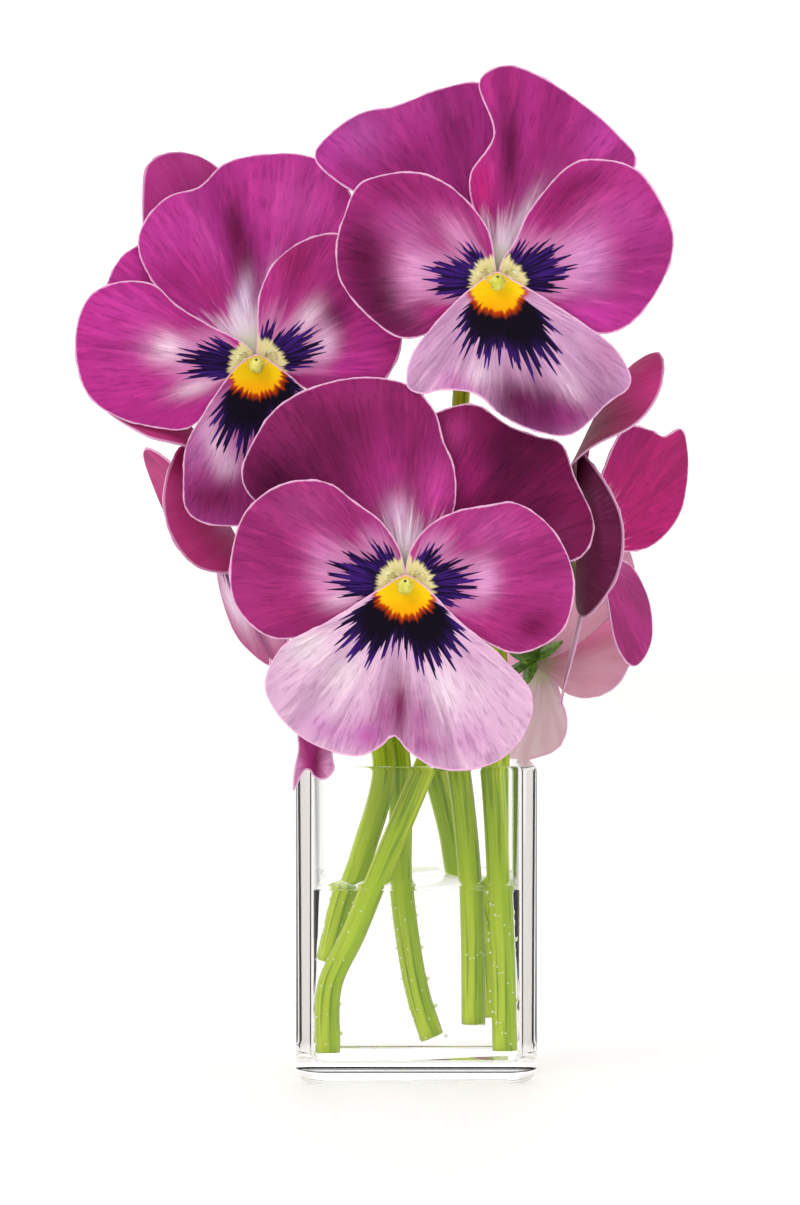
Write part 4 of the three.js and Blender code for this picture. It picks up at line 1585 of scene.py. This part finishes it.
TOP = FlowerPlan(
    "top",
    (13.9, -26, 83.2),
    (0, -1, 0),
    1.0,
    ((1, -0.5, 0.02), (0.97, -0.5, 0.4), (0.87, -0.4, 0.95)),
    ((10.4, -3, 20), (8.5, -4, 45), (8, -7, 66), (11, -10, 80)),
    {
        "upper_left": PetalPlan(
            Kind.UPPER,
            ((-1, 1.5), (-16, 11.6), (-29, 19.4), (-31.8, 23.3), (-28.5, 27.7), (-23.3, 31), (-17.6, 31.9),
             (-10.4, 34.5), (-3.1, 35.5), (2, 32), (3, 20)),
            118, 3, lean=-0.16, phase=1, base="a22a7c",
            tints_and_shades=(
                TintAndShade(-6.5, 27, 2.6, 8, "6e1450", 12, 0.85),
                TintAndShade(-14, 22, 5, 4.5, "811a5c", 0, 0.7),
                TintAndShade(-24, 27, 4.5, 4.5, "b956a8", 0, 0.6),
                TintAndShade(-29, 24, 2.5, 3, "c244a4", 0, 0.7),
                TintAndShade(-14, 31, 6, 2.5, "a43a86", 0, 0.5),
            ),
        ),
        "upper_right": PetalPlan(
            Kind.UPPER,
            ((0.5, 1.5), (-4.1, 13), (-4.7, 19), (-0.6, 26), (-3.1, 35.5), (1.3, 38), (6.7, 36.5),
             (15.5, 31.1), (21.2, 25.9), (24.1, 21.5), (16, 11)),
            72, 2, lean=-0.14, cup=0.8, base="ac2e80",
            tints_and_shades=(
                TintAndShade(2.3, 23, 1.8, 10, "5c0d3c", -2, 1.0),
                TintAndShade(-2.8, 17, 1.8, 5, "b81f6c", 0, 0.8),
                TintAndShade(9, 15, 4, 6, "c04c98", -35, 0.8),
                TintAndShade(18.5, 25, 5, 5, "c446a4", 0, 0.7),
                TintAndShade(6.5, 30, 3, 6, "a02a78", 0, 0.5),
                TintAndShade(4.5, 11.5, 1.3, 5, "ecd0e2", -28, 1.0),
            ),
        ),
        "side_left": PetalPlan(
            Kind.SIDE,
            ((-0.4, -0.5), (-0.5, 4.5), (-1.8, 9.8), (-7.3, 16.3), (-13, 19.2), (-18.5, 19.2), (-23.8, 17.3),
             (-26.2, 12.5), (-27.8, 6.5), (-27.2, 0.8), (-23.8, -4.1), (-17.1, -9.3), (-13, -9.1),
             (-6, -4.5)),
            165, 1, lean=0.04, phase=2, base="a52c78",
            tints_and_shades=(
                TintAndShade(-23, 4.5, 4.8, 8, "560c38", 0, 0.95),
                TintAndShade(-19.5, -2.5, 4.5, 6, "4e0a32", 0, 0.95),
                TintAndShade(-16, -7, 4, 3, "5c0e3c", 0, 0.8),
                TintAndShade(-14, 16.5, 6, 2.6, "8a1f60", 0, 0.75),
                TintAndShade(-17, 10.5, 4, 3, "b04a90", 0, 0.6),
                TintAndShade(-14.5, 2.5, 3.2, 5.5, "d488bc", 0, 0.9),
                TintAndShade(-7.5, 9.2, 3.5, 2.4, "d88abc", -35, 0.7),
                TintAndShade(-10, -4.5, 3, 2, "a82272", 0, 0.7),
            ),
            lobes=(Lobe(173, 27, 13.2), Lobe(133, 16, 9.5)),
        ),
        "side_right": PetalPlan(
            Kind.SIDE,
            ((0.4, -0.5), (0.7, 4), (2.8, 7), (5.4, 12.5), (13, 20.7), (18, 21.2), (23.4, 19.6), (27.5, 14.5),
             (30.2, 7.5), (28.5, 0.5), (22.3, -7.3), (17, -8.5), (7, -4)),
            20, 1, lean=0.04, base="b03282",
            tints_and_shades=(
                TintAndShade(15.6, 3.7, 4, 6.5, "d184c2", 0, 0.95),
                TintAndShade(10.5, 14, 3.5, 4.5, "861856", -40, 0.8),
                TintAndShade(14.5, 17, 5, 2.4, "781250", 20, 0.75),
                TintAndShade(25.5, 7, 4, 5, "a03284", 0, 0.6),
                TintAndShade(22, 12, 4, 3, "b64a9a", 0, 0.5),
                TintAndShade(17, -5, 6, 3, "c2329c", 0, 0.8),
                TintAndShade(25, -1, 3, 4, "bc3898", 0, 0.6),
            ),
            lobes=(Lobe(18, 33, 13.8), Lobe(58, 15, 9)),
        ),
        "lower": PetalPlan(
            Kind.LOWER,
            ((0, 2.2), (-3, 0.6), (-10.9, -7), (-15, -13), (-15.5, -18.1), (-13, -19.2), (-9.8, -18.5),
             (-3.6, -19.2), (0.5, -22.8), (6.7, -25.6), (12.5, -26.2), (19, -20.6), (22.9, -17.3),
             (20.7, -11.7), (13, -5.7), (3, 0.6)),
            280, 0, lean=0.12, cup=-0.6, base="c994bd",
            tints_and_shades=(
                TintAndShade(-11, -12.5, 3.5, 4, "d2a2c6", 0, 0.9),
                TintAndShade(-6.5, -17.5, 4, 2.2, "d274ba", 0, 0.8),
                TintAndShade(-12.5, -17.5, 2.5, 2, "d8a8cc", 0, 0.7),
                TintAndShade(-3, -15.5, 3, 2.2, "ecd2e4", 0, 0.8),
                TintAndShade(4, -20.5, 6, 5, "5a1440", -20, 1.0),
                TintAndShade(8, -22.5, 7.5, 4.4, "641a4c", 20, 1.0),
                TintAndShade(12.5, -22.8, 6, 3.4, "8a2a6e", 25, 0.9),
                TintAndShade(14.5, -13.5, 4.5, 3.5, "d4a6ca", -40, 0.9),
                TintAndShade(18.5, -12, 3, 4, "bd7ca8", -40, 0.8),
                TintAndShade(12.5, -17.5, 3.5, 1.8, "dfbcd6", -50, 0.8),
            ),
            lobes=(Lobe(262, 46, 14.5), Lobe(299, 27, 18.0)),
        ),
    },
)

LEFT = FlowerPlan(
    "left",
    (-27.8, -16, 69.5),
    (0, -1, 0),
    1.0,
    ((0.18, 0, 0.05), (0.02, 0, 0.18), (-0.1, 0, 0.35), (-0.18, 0, 0.55), (-0.2, 0, 1)),
    ((-8, 1, 25), (-19, 0, 48), (-27.3, 2.4, 63)),
    {
        "upper_left": PetalPlan(
            Kind.UPPER,
            ((-1, 1.5), (-16, 6), (-28, 9.5), (-26.6, 14.8), (-23.8, 19.8), (-19, 22.5), (-12, 25), (-5, 22),
             (-1, 12)),
            115, 3, lean=-0.16, base="b62c8a",
            tints_and_shades=(TintAndShade(-24, 16, 5, 4, "c23c9a", 0, 0.6), TintAndShade(-18, 13, 5, 4, "981f68", 0, 0.6)),
        ),
        "upper_right": PetalPlan(
            Kind.UPPER,
            ((-1, 1.5), (-11.5, 8.5), (-18.6, 15.3), (-21, 21.9), (-19.1, 26.8), (-15.3, 30.3), (-10.5, 31.8),
             (-6, 36.4), (1.6, 38.4), (9.3, 37.7), (15, 33), (17.5, 25), (13, 13), (3, 3)),
            98, 2, lean=-0.14, cup=1.2, base="b2328a",
            tints_and_shades=(
                TintAndShade(-3.6, 23, 2.0, 9, "5e0c3a", 10, 1.0),
                TintAndShade(-2.0, 17, 1.4, 5, "6a1044", 0, 0.8),
                TintAndShade(-9.5, 24, 2.2, 8, "c2449e", 18, 0.7),
                TintAndShade(-14, 16, 4, 4, "9c2070", 30, 0.7),
                TintAndShade(-8, 13, 3, 4, "962060", 30, 0.7),
                TintAndShade(-16.5, 24, 3, 5, "b83c94", 0, 0.5),
                TintAndShade(7, 29, 5, 6, "be4a9c", 0, 0.6),
                TintAndShade(6, 20, 3, 5, "ac2e82", 0, 0.5),
                TintAndShade(-2.4, 11, 1.6, 4.5, "dcc4e0", -8, 0.95),
                TintAndShade(1.6, 12, 1.0, 5.5, "e8cce4", -12, 0.8),
            ),
        ),
        "side_left": PetalPlan(
            Kind.SIDE,
            ((-0.4, -0.5), (-1, 3), (-8.7, 7.5), (-14, 10.8), (-17.8, 14.2), (-23.5, 14.8), (-28.7, 12.6),
             (-31.1, 7.7), (-31.2, 0.5), (-29, -5.5), (-24.1, -9), (-17.5, -10.7), (-12, -10.8), (-5, -4.5)),
            175, 1, lean=0.04, phase=1, base="b8308a",
            tints_and_shades=(
                TintAndShade(-22, 11, 6, 3.5, "c43c9c", 0, 0.7),
                TintAndShade(-15.8, 3.2, 3.4, 2.6, "eccade", 0, 1.0),
                TintAndShade(-11, -3.8, 4, 1.3, "ebc8dc", 18, 0.9),
                TintAndShade(-20, -6.5, 6, 2.6, "c0328e", 0, 0.6),
                TintAndShade(-12.5, 6.8, 4, 1.6, "a42476", -25, 0.7),
                TintAndShade(-25, 2, 3.5, 5, "b0348a", 0, 0.6),
                TintAndShade(-19.5, 4.5, 3, 3, "b84a98", 0, 0.5),
            ),
            lobes=(Lobe(176, 21, 14.2), Lobe(152, 10, 10.5)),
        ),
        "side_right": PetalPlan(
            Kind.SIDE,
            ((0.4, -0.5), (0.1, 6.5), (0.5, 13.1), (3.3, 18.6), (8.2, 22.1), (13.9, 23.2), (20, 20),
             (24.5, 13), (25.4, 5), (23, -1.6), (18, -5.5), (12, -5.5), (5, -2)),
            30, 1, lean=0.04, base="ac2e7c",
            tints_and_shades=(
                TintAndShade(6.5, 18.5, 3.5, 4, "97205f", 0, 0.8),
                TintAndShade(13.5, 8.8, 2.6, 2.6, "6c124c", -30, 0.95),
                TintAndShade(9, 8.6, 1.7, 3.2, "efcce0", -35, 1.0),
                TintAndShade(11.8, 3.6, 2.2, 3.2, "ecc4de", 0, 0.9),
                TintAndShade(20, 5, 3.5, 5, "ba3290", 0, 0.7),
                TintAndShade(16, 0, 5, 2.2, "c8369e", 0, 0.8),
                TintAndShade(4, 13, 1.8, 4, "b23884", 0, 0.6),
                TintAndShade(14, 17, 4, 3, "a02c78", 0, 0.5),
            ),
            lobes=(Lobe(25, 32, 12.6), Lobe(72, 11, 9)),
        ),
        "lower": PetalPlan(
            Kind.LOWER,
            ((0, 2.2), (-3, 0.6), (-9.3, -8.2), (-12.3, -13.7), (-12.8, -19.1), (-12.3, -25), (-9.3, -27.3),
             (-3.3, -27.9), (4, -27), (11, -22), (14, -15), (11, -7), (3, 0.6)),
            268, 0, lean=0.1, cup=-0.6, base="a03a82",
            tints_and_shades=(
                TintAndShade(-7.5, -13, 2.2, 4.5, "dcaecd", 20, 1.0),
                TintAndShade(-9, -7.5, 2.5, 2.5, "c478ae", 0, 0.8),
                TintAndShade(-5, -17.5, 2.0, 2.4, "dab4d2", 0, 0.9),
                TintAndShade(-11, -15, 2, 3, "c070ac", 0, 0.8),
                TintAndShade(-7.5, -23, 5, 3, "701648", 0, 0.9),
                TintAndShade(-2.5, -23, 3, 4, "80205a", 0, 0.7),
            ),
            lobes=(Lobe(256, 34, 16.5), Lobe(305, 40, 12.5)),
        ),
    },
    turn=100.0,
)

FRONT = FlowerPlan(
    "front",
    (-2, -33, 31),
    (0, -1, 0),
    1.0,
    ((0.65, -0.33, 0.1), (0.64, -0.33, 0.4), (0.6, -0.33, 0.65), (0.46, -0.33, 1)),
    ((3.5, -8, 16), (-0.5, -13, 27)),
    {
        "upper_left": PetalPlan(
            Kind.UPPER,
            ((-1, 1.5), (-14, 9), (-26.3, 15.3), (-28, 19.5), (-26, 25), (-22, 30.7), (-15.3, 34.5),
             (-6.6, 36.1), (1, 34.5), (5.1, 30.2), (6.6, 25.1), (8.4, 20.5), (8.4, 13.3), (3, 3)),
            112, 2, lean=-0.14, cup=0.8, base="922466",
            tints_and_shades=(
                TintAndShade(-22, 18.5, 7, 6.5, "500e38", 0, 0.95),
                TintAndShade(-14, 22, 6, 6, "641444", 0, 0.8),
                TintAndShade(-9.5, 28, 6, 5, "6e1848", 0, 0.7),
                TintAndShade(-20, 28, 5, 4, "7c2254", 0, 0.7),
                TintAndShade(-3, 18.5, 2.4, 6, "b03284", 0, 0.9),
                TintAndShade(5.4, 17, 2.6, 6, "c24094", 0, 0.95),
                TintAndShade(1.5, 22.5, 1.2, 6, "85205e", -5, 0.8),
                TintAndShade(-7.5, 14, 4, 2.6, "a02c74", 35, 0.6),
                TintAndShade(-1.2, 12, 2.2, 3.4, "dcb2d2", 0, 0.95),
                TintAndShade(-3.9, 33.5, 5, 2, "9a2c6c", 0, 0.5),
            ),
        ),
        "upper_right": PetalPlan(
            Kind.UPPER,
            ((1, 1.5), (0.4, 16), (1.2, 27), (5.1, 29.9), (11.8, 31.5), (17.9, 27.9), (23, 26.1), (26.9, 25),
             (29.4, 19), (32.7, 10.7), (30.2, 5.1), (16, 4)),
            45, 3, lean=-0.16, phase=2, base="7e184f",
            tints_and_shades=(
                TintAndShade(17.5, 22, 7, 6.5, "480830", 30, 0.95),
                TintAndShade(8.5, 26.5, 2.8, 3.5, "ac347c", 0, 0.95),
                TintAndShade(10.5, 18.5, 3, 4.5, "a02270", -25, 0.85),
                TintAndShade(23.5, 13, 4, 4, "5a0e3c", 0, 0.8),
                TintAndShade(28, 9, 2.6, 3, "7c2658", 0, 0.7),
                TintAndShade(22, 24, 4, 2.2, "581038", 0, 0.7),
            ),
        ),
        "side_left": PetalPlan(
            Kind.SIDE,
            ((-0.4, -0.5), (-0.6, 5.6), (-4.1, 11.3), (-8.2, 14.3), (-13.3, 17.9), (-20.5, 17.7),
             (-26.9, 13.3), (-29.6, 6), (-29.2, -2.6), (-23.5, -8.4), (-17, -8.4), (-6, -4)),
            165, 1, lean=0.04, base="a22e74",
            tints_and_shades=(
                TintAndShade(-18, 13.5, 5, 3.5, "ab4484", 0, 0.7),
                TintAndShade(-11.5, 12, 3.5, 2.4, "8e2866", -35, 0.6),
                TintAndShade(-23.5, 5, 4, 5, "98286c", 0, 0.6),
                TintAndShade(-14.2, 6.5, 2.8, 2.8, "d070b2", 0, 0.8),
                TintAndShade(-14, 1, 3, 3, "cf74b0", 0, 0.8),
                TintAndShade(-11, -2.2, 3.2, 1.4, "e6b4d2", 15, 0.9),
                TintAndShade(-20, -4, 5, 3, "a02668", 0, 0.6),
                TintAndShade(-5.5, 8.5, 2, 2.6, "b85098", -30, 0.6),
            ),
            lobes=(Lobe(167, 30, 13.8), Lobe(126, 18, 9.8)),
        ),
        "side_right": PetalPlan(
            Kind.SIDE,
            ((0.4, -0.5), (0.6, 5.6), (3.6, 10.2), (8.7, 13), (14.8, 14.1), (18.4, 14.6), (24, 11.3), (28, 5),
             (28.8, -1), (26.6, -7.7), (19.4, -11.3), (14, -9.5), (6, -4)),
            5, 1, lean=0.04, phase=2, base="ae3480",
            tints_and_shades=(
                TintAndShade(14.5, 10, 5, 3, "b44a90", 0, 0.7),
                TintAndShade(13.8, 1.2, 2.2, 4, "dc92c6", 0, 0.9),
                TintAndShade(22, -6.5, 4.5, 3, "74124a", 20, 0.95),
                TintAndShade(17, -3.5, 4, 2.4, "98246c", 20, 0.6),
                TintAndShade(24.5, 5.5, 3, 4, "98286c", 0, 0.6),
                TintAndShade(14, -7.5, 4, 2, "a82a70", 30, 0.6),
                TintAndShade(4.5, 8, 2, 2, "bc5a9e", 30, 0.6),
            ),
            lobes=(Lobe(5, 32, 12.8), Lobe(50, 18, 9.8)),
        ),
        "lower": PetalPlan(
            Kind.LOWER,
            ((0, 2.2), (-3, 0.6), (-12.8, -5.6), (-21, -10.2), (-23.9, -16.9), (-21, -22.5), (-15.3, -26.9),
             (-7.7, -28.7), (-4, -27), (-2, -25.2), (0.5, -27.8), (6.1, -30.8), (15.3, -29.7), (20.5, -24.5),
             (21.6, -18.4), (16.4, -11.8), (9, -5.5), (3, 0.6)),
            268, 0, lean=0.06, cup=-0.6, base="dcb0cf",
            tints_and_shades=(
                TintAndShade(-17, -10.5, 4, 2.4, "efe0e6", 20, 0.9),
                TintAndShade(-10.5, -14.5, 2.6, 3.4, "f0dfe6", -35, 0.9),
                TintAndShade(-20.5, -16, 3, 4, "e0b2d0", 0, 0.7),
                TintAndShade(-14.5, -19, 4, 4, "dbb4d0", 0, 0.6),
                TintAndShade(-13, -24.5, 4.5, 2.2, "cc86c0", -20, 0.8),
                TintAndShade(-6.2, -25.2, 3, 3, "b552a0", 0, 0.9),
                TintAndShade(-0.9, -20.5, 1.7, 6.5, "6c1846", 0, 1.0),
                TintAndShade(-3.4, -21.5, 2.0, 4.5, "9a3c80", 0, 0.8),
                TintAndShade(2.4, -22.5, 2.0, 4.5, "a04488", 0, 0.8),
                TintAndShade(3.5, -27, 3.5, 2, "ae4c94", 0, 0.7),
                TintAndShade(6.8, -17, 2.4, 4, "f0dae8", 20, 0.9),
                TintAndShade(13, -16.5, 3.5, 4, "debbd2", 30, 0.7),
                TintAndShade(17.5, -20, 3, 4, "e0b0d0", 0, 0.6),
                TintAndShade(11, -26, 4, 2.6, "d092c2", 0, 0.7),
                TintAndShade(12.5, -11.5, 3.5, 2, "d8a6ca", 35, 0.7),
            ),
            lobes=(Lobe(231, 30, 16), Lobe(299, 33, 16.5), Lobe(266, 44, 11.5)),
        ),
    },
    turn=230.0,
)

RIGHT = FlowerPlan(
    "right",
    (32, 2, 37.7),
    (0.906, -0.423, 0),
    1.0,
    ((-1, -0.8, 0.02), (-0.98, -0.8, 0.24), (-0.71, -0.8, 0.41), (-0.37, -0.8, 0.65), (-0.07, -0.8, 0.86)),
    ((2.7, -12, 2), (11, -10, 17), (17, -1, 32)),
    usual(
        {
            "upper_left": dict(
                outline=((-1, 1.5), (-11, 8), (-21, 17), (-24, 26), (-17, 35), (-6, 38), (-1, 31), (0, 16)),
                lean=0.0, layer=2, rolls=(Roll(126, 10, 18, 75),), base="860f3f",
                tints_and_shades=(
                    TintAndShade(-13, 33, 13, 9, "cc2f84"),
                    TintAndShade(-6, 11, 9, 9, "420a2a"),
                    TintAndShade(-14, 22, 8, 6, "7a1440"),
                ),
            ),
            "upper_right": dict(
                outline=((1.4, 1.7), (3, 14), (8, 22), (16, 22), (21, 21), (27, 22.5), (32, 17), (31, 8),
                         (22, 1), (10, 0)),
                aim=40, layer=3, lean=0.24, base="b21c6c",
            ),
            # The near side petal's dark maroon base and patch are painted shade: it is seen at its back, in
            # shade.
            "side_left": dict(
                outline=((-0.4, -0.5), (-4, 10), (-15, 16.5), (-23, 13), (-28, 5), (-26, -6), (-18, -12),
                         (-7, -6)),
                rolls=(Roll(180, 4, 18, 80),), base="541036", tints_and_shades=(TintAndShade(-20, 0, 8, 12, "701a4c"),),
            ),
            "side_right": dict(
                outline=((0.8, 0.6), (10, -1), (19, -3), (26, -9), (26, -16), (19, -21), (11, -17), (6, -7)),
                aim=-30, lean=0.02, base="aa2a78",
            ),
            "lower": dict(
                outline=((0, 1.5), (-6, -6), (-10, -17), (-8, -25), (0, -28), (8, -25), (9, -17), (3, -6)),
                lean=-0.25, twist=-0.46, base="a84a8c",
            ),
        }
    ),
    sway=0.0,
)

FAR_LEFT = FlowerPlan(
    "far_left",
    (-36.5, 12, 42),
    (-0.83, -0.25, -0.5),
    1.0,
    ((-1, -0.4, 0.3), (-0.86, -0.4, 0.47), (-0.62, -0.4, 0.67), (-0.37, -0.4, 1)),
    ((-13, -5, 18), (-20, 3, 34)),
    usual(
        {
            "upper_left": dict(outline=mirrored(shrunk(UPPER, 0.6)), base="b83478"),
            "upper_right": dict(rolls=(Roll(50, 13, 15, 70),), base="b83478"),
            "side_left": dict(base="b83478"),
            "side_right": dict(rolls=(Roll(0, 8, 14, 75),), base="b83478"),
            "lower": dict(base="a83474"),
        }
    ),
    sway=0.0,
)

LOW = FlowerPlan(
    "low",
    (24, 35.5, 15.6),
    (0.62, 0.5, -0.6),
    0.75,
    ((0.97, 0.87, 0.3), (0.97, 0.87, 0.6), (0.97, 0.9, 1)),
    ((15, 19, 15),),
    usual(
        {
            place: dict(base="ffe2f0" if place == "lower" else "ffc2de", tints_and_shades=())
            for place in ("upper_left", "upper_right", "side_left", "side_right", "lower")
        }
    ),
    turn=60.0,
)

BACK = FlowerPlan(
    "back",
    (-36, 17, 77),
    (-0.45, 0.8, 0.4),
    0.8,
    ((0.91, 0.47, 0.1), (0.8, 0.47, 0.37), (0.51, 0.47, 0.55), (0.39, 0.47, 0.73), (0.2, 0.47, 0.94)),
    ((-3, 8, 20), (-12, 9, 43), (-21.5, 9, 62)),
    usual(
        {
            "upper_right": dict(rolls=(Roll(70, 22, 9, 80),)),
            "side_right": dict(rolls=(Roll(0, 8, 12, 80),)),
            "lower": dict(outline=shrunk(LOWER, 0.65)),
        }
    ),
    turn=150.0,
)

LOOSE = FlowerPlan(
    "loose",
    (-17.9, -25.2, 1.2),
    (0, -1, 0),
    1.0,
    (),
    (),
    {
        "": PetalPlan(
            Kind.PLAIN,
            ((-2.6, 4), (-3.3, -5.3), (-1, -1.3), (0.3, -2.9), (2, -3.3), (3.6, -1.8), (3.4, 2), (3, 10),
             (0, 15), (-2.6, 10)),
            270, rolls=(Roll(90, -2, -4, 65),), base="b83a86",
            tints_and_shades=(
                TintAndShade(0.6, 0, 1.0, 6, "7c1650"),
                TintAndShade(2.8, 0, 1.2, 6, "e0a0c8"),
                TintAndShade(-2.6, -2, 0.9, 6, "d890c0"),
            ),
        )
    },
)


class LoosePetal(Petal):
    """A dropped petal that lies over the front of the rim."""

    @property
    def name(self) -> str:
        """The petal's own name."""
        return "loose_petal"


def main() -> None:
    """Build the whole bouquet, then the studio round it."""
    logging.basicConfig(level=logging.INFO, format="%(name)s: %(message)s")
    finishes = Finishes()
    made = [Vase().build(finishes.glass), Water().build(finishes.water)]
    bouquet = (TOP, LEFT, FRONT, RIGHT, FAR_LEFT, LOW, BACK)
    for plan in bouquet:
        made += Flower(plan).build(finishes)
    made.append(Bubbles(tuple(Stem(plan) for plan in bouquet)).build(finishes.bubble))
    loose = LoosePetal(LOOSE, "", LOOSE.petals[""])
    made.append(loose.build(finishes.petal(LOOSE, "", LOOSE.petals[""]), finishes.back))
    for thing in made:
        LOG.info("%s: %d faces", thing.name, len(thing.data.polygons))
    Studio().build()
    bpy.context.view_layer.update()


if __name__ == "__main__":
    main()
